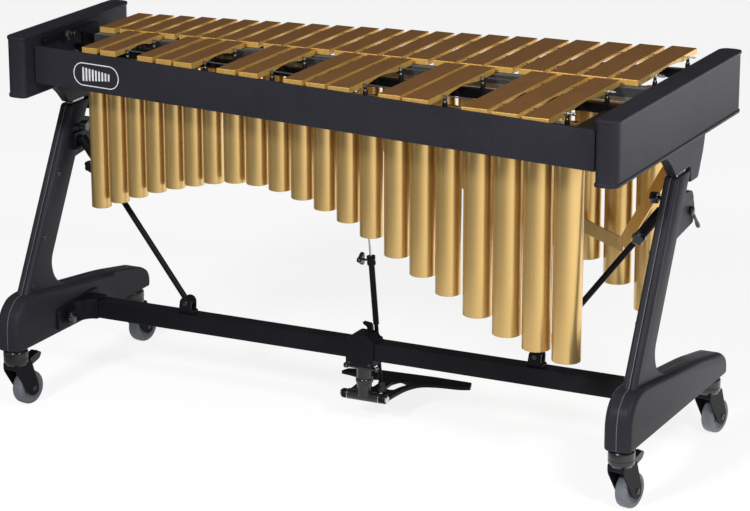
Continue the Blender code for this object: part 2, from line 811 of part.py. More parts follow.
def brace(name, side):
    """A diagonal brace: a clevis on the beam, a rod, a sleeve on the post and its clamp knob."""
    foot = Vector((side * CLEVIS.x, CLEVIS.y, CLEVIS.z))
    head = Vector((side * BRACE_TOP.x, BRACE_TOP.y, BRACE_TOP.z))

    def up(share):
        return foot.lerp(head, share)

    def across(reach, radius, sides=8):
        return rod(bmesh.new(), foot - Vector((0, reach, 0)), foot + Vector((0, reach, 0)), radius, sides)

    ear = [(foot.x - 0.016, BEAM_TOP + GAP), (foot.x + 0.016, BEAM_TOP + GAP)]
    ear += arc((foot.x, foot.z), 0.014, 0, 180, 6)
    clevis = add(f"brace_clevis_{name}", prism(bmesh.new(), ear, "Y", foot.y - 0.0135, foot.y + 0.0135), "black_coat")
    slot_low = (foot.x - 0.03, foot.y - 0.0072, 0.1965)
    slot = box(bmesh.new(), slot_low, (foot.x + 0.03, foot.y + 0.0072, 0.24))
    boolean(clevis, slot, "DIFFERENCE")
    boolean(clevis, across(0.015, 0.0035), "UNION")

    brace_rod = add(f"brace_rod_{name}", across(0.0066, 0.0115, 12), "black_coat", foot)
    boolean(brace_rod, rod(bmesh.new(), up(0.012), up(0.93), 0.0065, sides=10), "UNION")
    boolean(brace_rod, across(0.02, 0.0039), "DIFFERENCE")

    barrel = rod(bmesh.new(), up(SLEEVE_FROM), head, 0.0115, sides=12)
    sleeve = add(f"brace_sleeve_{name}", barrel, "black_coat", head)
    face = LEG_X - POST_HALF - GAP
    y = head.y - 0.008
    flange = mirrored(side, (face - 0.010, y - 0.020, head.z - 0.024), (face, y + 0.020, head.z + 0.014))
    boolean(sleeve, box(bmesh.new(), *flange), "UNION")
    boolean(sleeve, rod(bmesh.new(), up(0.70), up(0.945), 0.0070, sides=10), "DIFFERENCE")

    forward = Vector((0, -1, -0.25))
    out = (forward - forward.project(head - foot)).normalized()
    seat = up(SLEEVE_FROM + 0.045) + out * (0.0115 + GAP)
    screw = rod(bmesh.new(), seat, seat + out * 0.012, 0.0045, sides=8)
    knob = add(f"brace_knob_{name}", screw, "black_coat", seat)
    grip = rod(bmesh.new(), seat + out * 0.008, seat + out * 0.024, 0.0140, sides=10, end_radius=0.0125)
    boolean(knob, grip, "UNION")


def build_stand():
    for side, name in ((-1, "high"), (1, "low")):
        leg_shell(f"leg_{name}_outer_shell", side, side)
        leg_shell(f"leg_{name}_inner_shell", side, -side)
        height_lever(f"height_lever_{name}", side)
        lock_knob(f"lock_knob_{name}", side)
        beam_bracket(f"beam_bracket_{name}", side)
        brace(name, side)
        for end, y in (("front", -CASTER_Y), ("rear", CASTER_Y)):
            caster(f"{end}_{name}", side * LEG_X, y)
    end = BRACKET_STUB - GAP
    beam = box(bmesh.new(), (-end, -BEAM_HALF, BEAM_BOTTOM), (end, BEAM_HALF, BEAM_TOP))
    bevel(add("base_beam", beam, "black_coat"), 0.003)


# Casters


def caster(name, x, y):
    """A swivel fork and its wheel, and a brake lever on the front ones."""
    place = Matrix.Translation((x, y, 0)) @ Matrix.Rotation(-CASTER_TURN, 4, "Z")
    axle = Vector((0, CASTER_TRAIL, WHEEL_RADIUS))
    top = FOOT_BOTTOM - GAP
    head = [(0.0001, 0.094), (0.0235, 0.100), (0.0275, 0.111), (0.0275, top), (0.0001, top)]
    bm = turned(bmesh.new(), head, 12, place)
    fork = add(f"caster_fork_{name}", bm, "black_coat", (x, y, 0))
    cheek = [
        (-0.021, 0.104), (-0.021, 0.086), (0.018, 0.026), (0.032, 0.020),
        (0.046, 0.024), (0.050, 0.040), (0.028, 0.104),
    ]
    parts = bmesh.new()
    for low, high in ((-0.0195, -0.0168), (0.0168, 0.0195)):
        prism(parts, cheek, "X", low, high)
    moved(parts, place)
    boolean(fork, parts, "UNION")
    crown = box(bmesh.new(), (-0.0190, -0.020, 0.086), (0.0190, 0.026, 0.102))
    boolean(fork, moved(crown, place), "UNION")
    pin = rod(bmesh.new(), axle - Vector((0.0215, 0, 0)), axle + Vector((0.0215, 0, 0)), 0.004, sides=8)
    boolean(fork, moved(pin, place), "UNION")

    tread = WHEEL_WIDE / 2
    profile = [
        (0.0044, -0.0115), (0.0240, -0.0115), (0.0260, -tread), (0.0345, -tread), (WHEEL_RADIUS, -0.009),
        (WHEEL_RADIUS, 0.009), (0.0345, tread), (0.0260, tread), (0.0240, 0.0115), (0.0044, 0.0115),
    ]
    sideways = place @ Matrix.Translation(axle) @ facing((1, 0, 0))
    wheel = turned(bmesh.new(), profile, 16, sideways)
    add(f"caster_wheel_{name}", wheel, "grey_tyre", place @ axle)

    if name.startswith("front"):
        pivot = Vector((0, 0.036, 0.097))
        paddle = [
            (0.031, 0.094), (0.040, 0.089), (0.064, 0.098),
            (0.070, 0.110), (0.061, 0.115), (0.033, 0.106),
        ]
        lever = moved(prism(bmesh.new(), paddle, "X", -0.0115, 0.0115), place)
        bevel(add(f"brake_lever_{name}", lever, "black_coat", place @ pivot), 0.0015)


def moved(bm, place):
    bmesh.ops.transform(bm, matrix=place, verts=bm.verts)
    return bm


# Pedal and damper


def rod_point(z):
    """A point on the straight line from the pedal to the damper bar."""
    return ROD_FOOT.lerp(ROD_HEAD, (z - ROD_FOOT.z) / (ROD_HEAD.z - ROD_FOOT.z))


def mirrored_outline(half):
    """An outline from its +X half, a list of points that starts and ends at x = 0 or off it."""
    return half + [(-x, y) for x, y in reversed(half) if x]


def pedal_bracket(x, y, z):
    """The casting that clamps round the beam and carries the pedal's hinge below it."""
    half = 0.033
    clamp = box(bmesh.new(), (x - half, -0.0245, 0.1330), (x + half, 0.0245, 0.1930))
    bracket = add("pedal_bracket", clamp, "black_coat")
    dome = rod(bmesh.new(), (x, -0.017, 0.190), (x, 0.017, 0.190), 0.019, sides=16)
    boolean(bracket, dome, "UNION")
    inside = BEAM_HALF + GAP
    low, high = (x - 0.05, -inside, BEAM_BOTTOM - GAP), (x + 0.05, inside, BEAM_TOP + GAP)
    boolean(bracket, box(bmesh.new(), low, high), "DIFFERENCE")
    neck = rod(bmesh.new(), (x, 0, 0.140), (x, 0, z), 0.0165, sides=14)
    boolean(bracket, neck, "UNION")
    barrel = rod(bmesh.new(), (x - 0.038, y, z), (x + 0.038, y, z), 0.0110, sides=12)
    boolean(bracket, barrel, "UNION")
    guide = rod_point(0.172)
    low, high = (guide.x - 0.012, 0.022, 0.166), (guide.x + 0.012, 0.055, 0.178)
    boolean(bracket, box(bmesh.new(), low, high), "UNION")
    stop = box(bmesh.new(), (x - 0.012, 0.0215, 0.180), (x - 0.002, 0.0265, 0.226))
    boolean(bracket, stop, "UNION")
    eye = rod(bmesh.new(), rod_point(0.150), rod_point(0.195), 0.0058, sides=10)
    boolean(bracket, eye, "DIFFERENCE")
    bore = rod(bmesh.new(), (x - 0.06, y, z), (x + 0.06, y, z), 0.0054, sides=10)
    boolean(bracket, bore, "DIFFERENCE")


def pedal_shaft(x, y, z):
    pin = rod(bmesh.new(), (x - 0.0535, y, z), (x + 0.0535, y, z), 0.0050, sides=10)
    shaft = add("pedal_shaft", pin, "plated_steel", PEDAL_AXIS)
    heads = bmesh.new()
    for start, end in ((-0.0565, -0.0525), (0.0525, 0.0565)):
        rod(heads, (x + start, y, z), (x + end, y, z), 0.0080, sides=10)
    boolean(shaft, heads, "UNION")


PEDAL_LOW = PEDAL_AXIS.z - 0.0085
PEDAL_HIGH = PEDAL_AXIS.z - 0.0015


def pedal_plate(x, y, z):
    """The broad pedal with its two hinge hubs."""
    half = [
        (0.0, 0.026), (0.030, 0.026), (0.0386, 0.020), (0.0386, 0.004), (0.0515, 0.004),
        (0.0535, 0.034), (0.070, 0.068), (0.105, 0.118), (0.157, 0.178), (0.158, 0.190),
        (0.120, 0.205), (0.0, 0.212),
    ]
    outline = [(x + a, b) for a, b in mirrored_outline(half)]
    plate = prism(bmesh.new(), outline, "Z", PEDAL_LOW, PEDAL_HIGH)
    pedal = add("pedal", plate, "black_coat", PEDAL_AXIS)
    opening = [(0.030, 0.042), (0.044, 0.042), (0.056, 0.070), (0.036, 0.074)]
    holes, hubs = bmesh.new(), bmesh.new()
    for side in (-1, 1):
        window = [(x + side * a, b) for a, b in opening]
        prism(holes, window, "Z", PEDAL_LOW - 0.01, PEDAL_HIGH + 0.01)
        rod(hubs, (x + side * 0.0384, y, z), (x + side * 0.0522, y, z), 0.0105, sides=12)
    boolean(pedal, holes, "DIFFERENCE")
    boolean(pedal, hubs, "UNION")
    bore = rod(bmesh.new(), (x - 0.07, y, z), (x + 0.07, y, z), 0.0053, sides=10)
    boolean(pedal, bore, "DIFFERENCE")


BOOT_HIGH = 0.0235
JOINT_HEIGHT = 0.2105  # where the lower rod hands over to the telescoping tube
CLAMP_HEIGHT = 0.3530


def lift_rods():
    """From the pedal up: a rubber boot, a rod, a telescoping tube with its screw, and a thin rod."""
    low = rod_point(PEDAL_HIGH + 0.0005)
    profile = [
        (0.0001, 0.0), (0.0060, 0.0), (0.0105, 0.003),
        (0.0085, 0.0195), (0.0060, BOOT_HIGH), (0.0001, BOOT_HIGH),
    ]
    boot = turned(bmesh.new(), profile, 12, Matrix.Translation(low))
    add("pedal_boot", boot, "black_rubber", low)
    start = rod_point(low.z + BOOT_HIGH + 0.0009)
    lower = rod(bmesh.new(), start, rod_point(JOINT_HEIGHT - 0.0005), 0.0045, sides=10)
    add("pedal_rod", lower, "black_coat", start)

    foot = rod_point(JOINT_HEIGHT + 0.0005)
    outer = rod(bmesh.new(), foot, rod_point(0.3600), 0.0065, sides=12)
    tube = add("damper_tube", outer, "black_coat", foot)
    boolean(tube, rod(bmesh.new(), rod_point(0.3430), rod_point(0.3640), 0.0095, sides=12), "UNION")
    boolean(tube, rod(bmesh.new(), rod_point(0.2180), rod_point(0.3800), 0.0048, sides=12), "DIFFERENCE")

    seat = rod_point(CLAMP_HEIGHT) + Vector((-0.0095 - GAP, 0, 0))
    screw = rod(bmesh.new(), seat, seat - Vector((0.012, 0, 0)), 0.0028, sides=8)
    wing = add("damper_wing_screw", screw, "black_coat", seat)
    low_corner, high_corner = Vector((-0.021, -0.002, -0.010)), Vector((-0.010, 0.002, 0.010))
    boolean(wing, box(bmesh.new(), seat + low_corner, seat + high_corner), "UNION")

    thin = rod(bmesh.new(), rod_point(0.2400), rod_point(ROD_HEAD.z - GAP), 0.0030, sides=8)
    add("damper_rod", thin, "plated_steel", ROD_HEAD)


DAMPER_ENDS = (-0.652, 0.628)
DAMPER_HALF = 0.013
DAMPER_LOW, DAMPER_HIGH, FELT_HIGH = 0.7600, 0.7725, 0.7906


def build_damper():
    """The damper bar between the two rows and the felt that rests under the bars' ends."""
    start, end = DAMPER_ENDS
    for name, half, low, high, finish in (
        ("damper_bar", DAMPER_HALF, DAMPER_LOW, DAMPER_HIGH, "brushed_aluminium"),
        ("damper_felt", DAMPER_HALF + 0.001, DAMPER_HIGH + GAP, FELT_HIGH, "grey_felt"),
    ):
        near = [(start, DAMPER_LINE.y(start) - half), (end, DAMPER_LINE.y(end) - half)]
        far = [(end, DAMPER_LINE.y(end) + half), (start, DAMPER_LINE.y(start) + half)]
        strip = prism(bmesh.new(), near + far, "Z", low, high)
        bevel(add(name, strip, finish), 0.001)


def clear_scene():
    for leftover in list(bpy.data.objects):
        bpy.data.objects.remove(leftover, do_unlink=True)


def main():
    clear_scene()
    build_bars()
    build_resonators()
    build_upper_frame()
    build_stand()
    pedal_bracket(*PEDAL_AXIS)
    pedal_shaft(*PEDAL_AXIS)
    pedal_plate(*PEDAL_AXIS)
    lift_rods()
    build_damper()


main()
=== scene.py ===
"""The looks of a three-octave vibraphone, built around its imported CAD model.

Metres, +Z up. The origin is on the floor under the middle of the stand. +X points to the
low notes, +Y to the player's side. Every piece is built in place, at rest.
"""

import json
import math

import bmesh
import bpy
from mathutils import Matrix, Vector


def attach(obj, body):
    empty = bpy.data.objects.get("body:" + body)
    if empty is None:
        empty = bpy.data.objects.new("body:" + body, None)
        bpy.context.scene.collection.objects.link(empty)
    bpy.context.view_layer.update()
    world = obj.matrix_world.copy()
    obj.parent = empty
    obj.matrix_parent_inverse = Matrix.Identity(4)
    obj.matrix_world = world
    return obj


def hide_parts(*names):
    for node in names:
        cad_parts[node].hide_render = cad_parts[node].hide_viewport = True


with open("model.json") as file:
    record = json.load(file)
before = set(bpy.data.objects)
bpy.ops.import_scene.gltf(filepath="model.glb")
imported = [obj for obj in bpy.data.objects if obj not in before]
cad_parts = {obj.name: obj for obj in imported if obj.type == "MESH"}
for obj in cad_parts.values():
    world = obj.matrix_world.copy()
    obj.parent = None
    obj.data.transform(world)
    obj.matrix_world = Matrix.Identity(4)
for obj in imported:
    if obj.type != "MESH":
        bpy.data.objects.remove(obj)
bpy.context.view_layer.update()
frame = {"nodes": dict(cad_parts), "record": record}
NODES = frame["nodes"]
# Camera and light


CAMERA_PLACE = (2.6935, -5.3095, 2.1424)
CAMERA_YAW, CAMERA_PITCH = math.radians(26.184), math.radians(16.666)
CAMERA_LENS, CAMERA_SENSOR = 139.74, 36
CAMERA_SHIFT = (-0.0218, 0.0084)
# name, place, aim, wide, high, watts
SOFTBOXES = (
    ("key", (-0.5, -4.6, 3.3), (0, 0, 0.5), 0.7, 0.7, 210),
    ("right", (2.6, -1.9, 2.7), (0.1, 0, 0.5), 0.7, 0.7, 80),
    ("left", (-3.2, -2.6, 0.9), (0, 0, 0.5), 1.2, 1.8, 6),
    ("top", (0.3, 0.2, 3.4), (0, 0, 0.6), 2.4, 1.6, 6),
)
FLOOR_RADIUS, FLOOR_GLOW, FLOOR_GLOW_SHARE = 14, 1.06, 0.8


def build_camera():
    ahead = Vector((
        -math.sin(CAMERA_YAW) * math.cos(CAMERA_PITCH),
        math.cos(CAMERA_YAW) * math.cos(CAMERA_PITCH),
        -math.sin(CAMERA_PITCH),
    ))
    right = Vector((math.cos(CAMERA_YAW), math.sin(CAMERA_YAW), 0))
    up = right.cross(ahead)
    data = bpy.data.cameras.new("camera")
    data.lens, data.sensor_width = CAMERA_LENS, CAMERA_SENSOR
    data.shift_x, data.shift_y = CAMERA_SHIFT
    data.clip_end = 60
    camera = bpy.data.objects.new("camera", data)
    turn = Matrix((right, up, -ahead)).transposed().to_4x4()
    camera.matrix_world = Matrix.Translation(CAMERA_PLACE) @ turn
    bpy.context.scene.collection.objects.link(camera)
    bpy.context.scene.camera = camera


def softbox(name, place, aim, wide, high, watts):
    data = bpy.data.lights.new(name, "AREA")
    data.shape = "RECTANGLE"
    data.size, data.size_y = wide, high
    data.energy = watts
    light = bpy.data.objects.new(name, data)
    away = (Vector(place) - Vector(aim)).to_track_quat("Z", "Y")
    light.matrix_world = Matrix.Translation(place) @ away.to_matrix().to_4x4()
    light.visible_camera = False
    bpy.context.scene.collection.objects.link(light)


def build_world():
    """White where the camera looks past the object. What the object is lit by and reflects
    is a dimmer dome, brightest towards the front, below and to the right."""
    world = bpy.data.worlds.new("studio")
    bpy.context.scene.world = world
    world.use_nodes = True
    tree = world.node_tree
    tree.nodes.clear()
    out = tree.nodes.new("ShaderNodeOutputWorld")
    seen, lit = tree.nodes.new("ShaderNodeBackground"), tree.nodes.new("ShaderNodeBackground")
    seen.inputs["Color"].default_value = (1, 1, 1, 1)
    mix, path = tree.nodes.new("ShaderNodeMixShader"), tree.nodes.new("ShaderNodeLightPath")
    level = facing_level(tree, (0.45, -0.75, -0.48), 0.08, 0.42)
    tree.links.new(level, lit.inputs["Strength"])
    lit.inputs["Color"].default_value = (1.0, 0.985, 0.97, 1)
    tree.links.new(path.outputs["Is Camera Ray"], mix.inputs["Fac"])
    tree.links.new(lit.outputs[0], mix.inputs[1])
    tree.links.new(seen.outputs[0], mix.inputs[2])
    tree.links.new(mix.outputs[0], out.inputs["Surface"])
    bpy.context.scene.view_settings.view_transform = "Standard"


def facing_level(tree, towards, low, high, reach=1.0):
    """A brightness that rises from `low` to `high` towards a direction: of the view on the
    world's dome, or of the place on the floor within `reach` metres of its middle."""
    where = tree.nodes.new("ShaderNodeTexCoord")
    dot = tree.nodes.new("ShaderNodeVectorMath")
    dot.operation = "DOT_PRODUCT"
    dot.inputs[1].default_value = towards
    source = "Generated" if reach == 1.0 else "Object"
    tree.links.new(where.outputs[source], dot.inputs[0])
    level = tree.nodes.new("ShaderNodeMapRange")
    level.interpolation_type = "SMOOTHSTEP"
    level.inputs["From Min"].default_value = -reach
    level.inputs["From Max"].default_value = reach
    level.inputs["To Min"].default_value = low
    level.inputs["To Max"].default_value = high
    tree.links.new(dot.outputs["Value"], level.inputs["Value"])
    return level.outputs["Result"]


def build_floor():
    """Pale paper to the camera; to light and reflections, brighter at the back right."""
    bm = bmesh.new()
    bmesh.ops.create_circle(bm, cap_ends=True, segments=64, radius=FLOOR_RADIUS)
    mesh = bpy.data.meshes.new("floor")
    bm.to_mesh(mesh)
    bm.free()
    floor = bpy.data.objects.new("floor", mesh)
    bpy.context.scene.collection.objects.link(floor)
    material = bpy.data.materials.new("pale_floor")
    material.use_nodes = True
    tree = material.node_tree
    tree.nodes.clear()
    out = tree.nodes.new("ShaderNodeOutputMaterial")
    paper, glow = tree.nodes.new("ShaderNodeBsdfDiffuse"), tree.nodes.new("ShaderNodeEmission")
    mottle = tree.nodes.new("ShaderNodeTexNoise")
    mottle.inputs["Scale"].default_value = 3
    shade = tree.nodes.new("ShaderNodeMapRange")
    shade.inputs["To Min"].default_value, shade.inputs["To Max"].default_value = 0.86, 0.9
    tree.links.new(mottle.outputs["Fac"], shade.inputs["Value"])
    tree.links.new(shade.outputs["Result"], paper.inputs["Color"])
    both, path = tree.nodes.new("ShaderNodeMixShader"), tree.nodes.new("ShaderNodeLightPath")
    both.inputs["Fac"].default_value = FLOOR_GLOW_SHARE
    tree.links.new(paper.outputs[0], both.inputs[1])
    tree.links.new(glow.outputs[0], both.inputs[2])
    glow.inputs["Strength"].default_value = FLOOR_GLOW
    bounce = tree.nodes.new("ShaderNodeEmission")
    tree.links.new(facing_level(tree, (0.88, 0.47, 0), 0.14, 1.9, 2.2), bounce.inputs["Strength"])
    pick = tree.nodes.new("ShaderNodeMixShader")
    tree.links.new(path.outputs["Is Camera Ray"], pick.inputs["Fac"])
    tree.links.new(bounce.outputs[0], pick.inputs[1])
    tree.links.new(both.outputs[0], pick.inputs[2])
    tree.links.new(pick.outputs[0], out.inputs["Surface"])
    mesh.materials.append(material)


# Materials


class Look:
    """One procedural material, made node by node in the piece's own coordinates."""

    def __init__(self, name, metallic=0.0, **sockets):
        self.material = bpy.data.materials.new(name)
        self.material.use_nodes = True
        self.tree = self.material.node_tree
        self.shader = self.tree.nodes["Principled BSDF"]
        self.shader.inputs["Metallic"].default_value = metallic
        for socket, value in sockets.items():
            self.shader.inputs[socket.replace("_", " ")].default_value = value
        self.where = self.node("ShaderNodeTexCoord").outputs["Object"]

    def node(self, kind, **settings):
        made = self.tree.nodes.new(kind)
        for key, value in settings.items():
            setattr(made, key, value)
        return made

    def link(self, source, target):
        self.tree.links.new(source, target)

    def noise(self, scale, detail=2.0, stretch=(1, 1, 1), rough=0.5):
        mapping = self.node("ShaderNodeMapping")
        mapping.inputs["Scale"].default_value = stretch
        self.link(self.where, mapping.inputs["Vector"])
        noise = self.node("ShaderNodeTexNoise")
        noise.inputs["Scale"].default_value = scale
        noise.inputs["Detail"].default_value = detail
        noise.inputs["Roughness"].default_value = rough
        self.link(mapping.outputs[0], noise.inputs["Vector"])
        return noise.outputs["Fac"]

    def ranged(self, value, low, high, start=0.3, end=0.7):
        spread = self.node("ShaderNodeMapRange")
        for socket, number in (
            ("From Min", start), ("From Max", end), ("To Min", low), ("To Max", high),
        ):
            spread.inputs[socket].default_value = number
        self.link(value, spread.inputs["Value"])
        return spread.outputs["Result"]

    def tint(self, value, *stops):
        ramp = self.node("ShaderNodeValToRGB")
        elements = ramp.color_ramp.elements
        while len(elements) < len(stops):
            elements.new(0.5)
        for element, (place, color) in zip(elements, stops):
            element.position = place
            element.color = (*color, 1)
        self.link(value, ramp.inputs["Fac"])
        return ramp.outputs["Color"]

    def over(self, base, top, mask):
        mix = self.node("ShaderNodeMix", data_type="RGBA")
        self.link(mask, mix.inputs[0])
        for source, socket in ((base, mix.inputs[6]), (top, mix.inputs[7])):
            if isinstance(source, tuple):
                socket.default_value = (*source, 1)
            else:
                self.link(source, socket)
        return mix.outputs[2]

    def edges(self, radius, start=0.04, end=0.3):
        """About 1 along sharp edges and 0 elsewhere, broken up by noise: the mask for painted edge
        highlights.
        """
        bevel = self.node("ShaderNodeBevel", samples=4)
        bevel.inputs["Radius"].default_value = radius
        plain = self.node("ShaderNodeNewGeometry")
        dot = self.node("ShaderNodeVectorMath", operation="DOT_PRODUCT")
        self.link(bevel.outputs[0], dot.inputs[0])
        self.link(plain.outputs["Normal"], dot.inputs[1])
        mask = self.ranged(dot.outputs["Value"], 1, 0, 1 - end, 1 - start)
        # Noise that breaks up the painted edge highlight.
        edge_highlight = self.ranged(self.noise(160, 3), 0.35, 1.0)
        product = self.node("ShaderNodeMath", operation="MULTIPLY")
        self.link(mask, product.inputs[0])
        self.link(edge_highlight, product.inputs[1])
        return product.outputs[0]

    def patches(self, scale, detail, dark, light):
        return self.tint(self.noise(scale, detail), (0.3, dark), (0.7, light))

    def bump(self, *layers):
        normal = None
        for height, strength, distance in layers:
            bump = self.node("ShaderNodeBump")
            bump.inputs["Strength"].default_value = strength
            bump.inputs["Distance"].default_value = distance
            self.link(height, bump.inputs["Height"])
            if normal:
                self.link(normal, bump.inputs["Normal"])
            normal = bump.outputs["Normal"]
        self.link(normal, self.shader.inputs["Normal"])

    def finish(self, color, rough, *bumps):
        self.link(color, self.shader.inputs["Base Color"])
        self.link(rough, self.shader.inputs["Roughness"])
        self.bump(*bumps)
        return self.material


def gold_bar():
    """Satin anodised bars, brushed along their length; ends and sides are painted a brighter gold
    than the tops, as painted light for the front light on them.
    """
    look = Look("gold_bar", metallic=0.55)
    brushed = look.noise(1, 3, (900, 14, 900))
    base = look.patches(9, 3, (0.27, 0.118, 0.026), (0.325, 0.148, 0.038))
    lines = look.tint(brushed, (0.3, (0.235, 0.1, 0.021)), (0.7, (0.39, 0.185, 0.053)))
    base = look.over(base, lines, look.ranged(look.noise(40, 2), 0.35, 0.75))
    plain = look.node("ShaderNodeNewGeometry")
    upright = look.node("ShaderNodeSeparateXYZ")
    look.link(plain.outputs["Normal"], upright.inputs[0])
    # Painted light: faces that do not look up get a brighter gold than the tops, by their facing
    # alone.
    cut = look.noise(160, 3, (1, 1, 0.2))
    cut = look.tint(cut, (0.3, (0.66, 0.4, 0.095)), (0.7, (0.8, 0.5, 0.14)))
    base = look.over(base, cut, look.ranged(upright.outputs["Z"], 1, 0, 0.35, 0.9))
    # The pale gold along the sharp edges is a painted highlight.
    return look.finish(
        look.over(base, (0.95, 0.7, 0.3), look.edges(0.0014)), look.ranged(brushed, 0.34, 0.46),
        (brushed, 0.1, 0.0003), (look.noise(700, 2), 0.06, 0.0002),
    )


def champagne_tube():
    """Satin anodised tubes with the faint lengthwise lines of drawn metal."""
    look = Look("champagne_tube", metallic=0.8)
    drawn = look.noise(1, 3, (500, 500, 5))
    base = look.patches(6, 3, (0.55, 0.365, 0.135), (0.6, 0.405, 0.155))
    lines = look.tint(drawn, (0.3, (0.54, 0.355, 0.13)), (0.7, (0.62, 0.425, 0.17)))
    base = look.over(base, lines, look.ranged(look.noise(25, 2), 0.25, 0.6))
    # The pale gold along the rim and sharp edges is a painted highlight.
    return look.finish(
        look.over(base, (0.92, 0.76, 0.47), look.edges(0.0012)), look.ranged(drawn, 0.27, 0.33),
        (look.noise(900, 2), 0.03, 0.0002),
    )


def coat(name, dark, light, rough, grain=620, strength=0.35, edge_highlight=(0.2, 0.2, 0.22)):
    """Textured powder coat: fine orange peel, light specks, and a painted highlight along the
    edges.
    """
    look = Look(name, Specular_IOR_Level=0.06)
    peel = look.noise(grain, 3, rough=0.6)
    speck = look.ranged(look.noise(grain * 1.7, 1), 0, 0.55, 0.6, 0.74)
    base = look.over(look.patches(7, 3, dark, light), tuple(c * 3.2 for c in light), speck)
    return look.finish(
        # The lighter colour along the edges is a painted highlight.
        look.over(base, edge_highlight, look.edges(0.0016, 0.1, 0.5)),
        look.ranged(peel, rough - 0.06, rough + 0.08),
        (look.noise(60, 2), 0.05, 0.0006), (peel, strength, 0.0005),
    )


def moulded(name, patches, dark, light, edge_highlight, gloss, rough, grain, depth):
    """Plastic, rubber or paint: slow patches of colour, a painted highlight along the edges and a
    fine grain.
    """
    look = Look(name)
    base = look.patches(*patches, dark, light)
    # The lighter colour along the edges is a painted highlight.
    if edge_highlight:
        base = look.over(base, edge_highlight[0], look.edges(edge_highlight[1]))
    return look.finish(base, look.ranged(look.noise(*gloss), *rough), (look.noise(*grain), *depth))


def bright_metal(name, low, high, rough, stretch):
    look = Look(name, metallic=1.0)
    lines = look.noise(1, 3, stretch)
    # The near-white along the edges is a painted highlight.
    base = look.over(look.patches(35, 3, low, high), (0.85, 0.85, 0.86), look.edges(0.0008))
    return look.finish(base, look.ranged(lines, rough, rough + 0.12), (lines, 0.08, 0.0002))


def grey_felt():
    look = Look("grey_felt", Sheen_Weight=0.1, Sheen_Roughness=0.6)
    fibre = look.noise(420, 5, (1, 1, 1.8), 0.7)
    base = look.patches(120, 4, (0.008, 0.008, 0.009), (0.018, 0.018, 0.02))
    base = look.over(base, (0.05, 0.05, 0.055), look.ranged(fibre, 0, 0.7, 0.55, 0.75))
    return look.finish(base, look.ranged(fibre, 0.85, 1), (fibre, 0.7, 0.0009))


def braided_cord(name, dark, light):
    look = Look(name, Sheen_Weight=0.2)
    braid = look.node("ShaderNodeTexWave", bands_direction="DIAGONAL")
    braid.inputs["Scale"].default_value = 260
    braid.inputs["Distortion"].default_value = 1.5
    look.link(look.where, braid.inputs["Vector"])
    thread = braid.outputs["Fac"]
    color = look.tint(thread, (0.2, dark), (0.8, light))
    return look.finish(color, look.ranged(thread, 0.6, 0.85, 0, 1), (thread, 0.5, 0.0004))

LOOKS = {
    "gold_bar": gold_bar(),
    "champagne_tube": champagne_tube(),
    # The last colour given to coat and the (colour, radius) pair given to moulded are painted edge
    # highlights; the charcoal coat uses the default one.
    "charcoal_coat": coat("charcoal_coat", (0.015, 0.015, 0.0195), (0.0205, 0.0205, 0.0262), 0.4),
    "black_coat": coat(
        "black_coat", (0.005, 0.005, 0.0065), (0.008, 0.008, 0.0105), 0.32, 750, 0.22,
        (0.11, 0.11, 0.12)
    ),
    "black_plastic": moulded(
        "black_plastic", (30, 3), (0.005, 0.005, 0.006), (0.01, 0.01, 0.011),
        ((0.09, 0.09, 0.095), 0.001), (45, 3), (0.16, 0.28), (1400, 2), (0.12, 0.0002),
    ),
    "black_rubber": moulded(
        "black_rubber", (50, 3), (0.012, 0.012, 0.012), (0.024, 0.024, 0.024),
        ((0.08, 0.08, 0.08), 0.001), (1100, 3), (0.62, 0.85), (1100, 3), (0.2, 0.0003),
    ),
    "grey_tyre": moulded(
        "grey_tyre", (60, 4), (0.08, 0.088, 0.105), (0.11, 0.12, 0.14),
        ((0.24, 0.25, 0.26), 0.0015), (60, 4), (0.48, 0.66), (800, 3), (0.14, 0.0003),
    ),
    "pale_print": moulded(
        "pale_print", (80, 3), (0.5, 0.5, 0.51), (0.68, 0.68, 0.69),
        None, (300, 2), (0.35, 0.55), (600, 2), (0.08, 0.0002),
    ),
    "plated_steel": bright_metal(
        "plated_steel", (0.5, 0.5, 0.51), (0.66, 0.66, 0.67), 0.18, (60, 60, 900)
    ),
    "aluminium_post": bright_metal(
        "aluminium_post", (0.38, 0.39, 0.41), (0.5, 0.51, 0.53), 0.3, (700, 30, 30)
    ),
    "aluminium_bar": bright_metal(
        "aluminium_bar", (0.4, 0.41, 0.43), (0.52, 0.53, 0.55), 0.3, (20, 700, 700)
    ),
    "grey_felt": grey_felt(),
    "white_cord": braided_cord("white_cord", (0.22, 0.22, 0.21), (0.48, 0.47, 0.45)),
    "dark_cord": braided_cord("dark_cord", (0.01, 0.01, 0.011), (0.05, 0.05, 0.055)),
}

# Geometry helpers


def piece(name, bm, body, slot, *nodes, look=None, bevel=0.0, segments=2, angle=38,
          round_angle=None):
    """Turns a bmesh in place into a piece that rides on a body and stands for CAD nodes."""
    bmesh.ops.remove_doubles(bm, verts=bm.verts, dist=1e-6)
    bmesh.ops.recalc_face_normals(bm, faces=bm.faces)
    mesh = bpy.data.meshes.new(name)
    bm.to_mesh(mesh)
    bm.free()
    mesh.materials.append(LOOKS[look or slot])
    mesh.shade_smooth()
    mesh.set_sharp_from_angle(angle=math.radians(round_angle or 38))
    made = bpy.data.objects.new(name, mesh)
    bpy.context.scene.collection.objects.link(made)
    if bevel:
        add_bevel(made, bevel, segments, angle)
    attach(made, body)
    if nodes:
        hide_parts(*nodes)
    return made


def coated(name, bm, body, *nodes, **how):
    """A piece in the black coat."""
    return piece(name, bm, body, "black_coat", *nodes, **how)


def plastic(name, bm, body, *nodes, **how):
    """A moulded black piece, which shares the black coat's slot."""
    return piece(name, bm, body, "black_coat", *nodes, look="black_plastic", **how)


def mm(*points):
    """Points given in millimetres."""
    return [tuple(value / 1000 for value in point) for point in points]


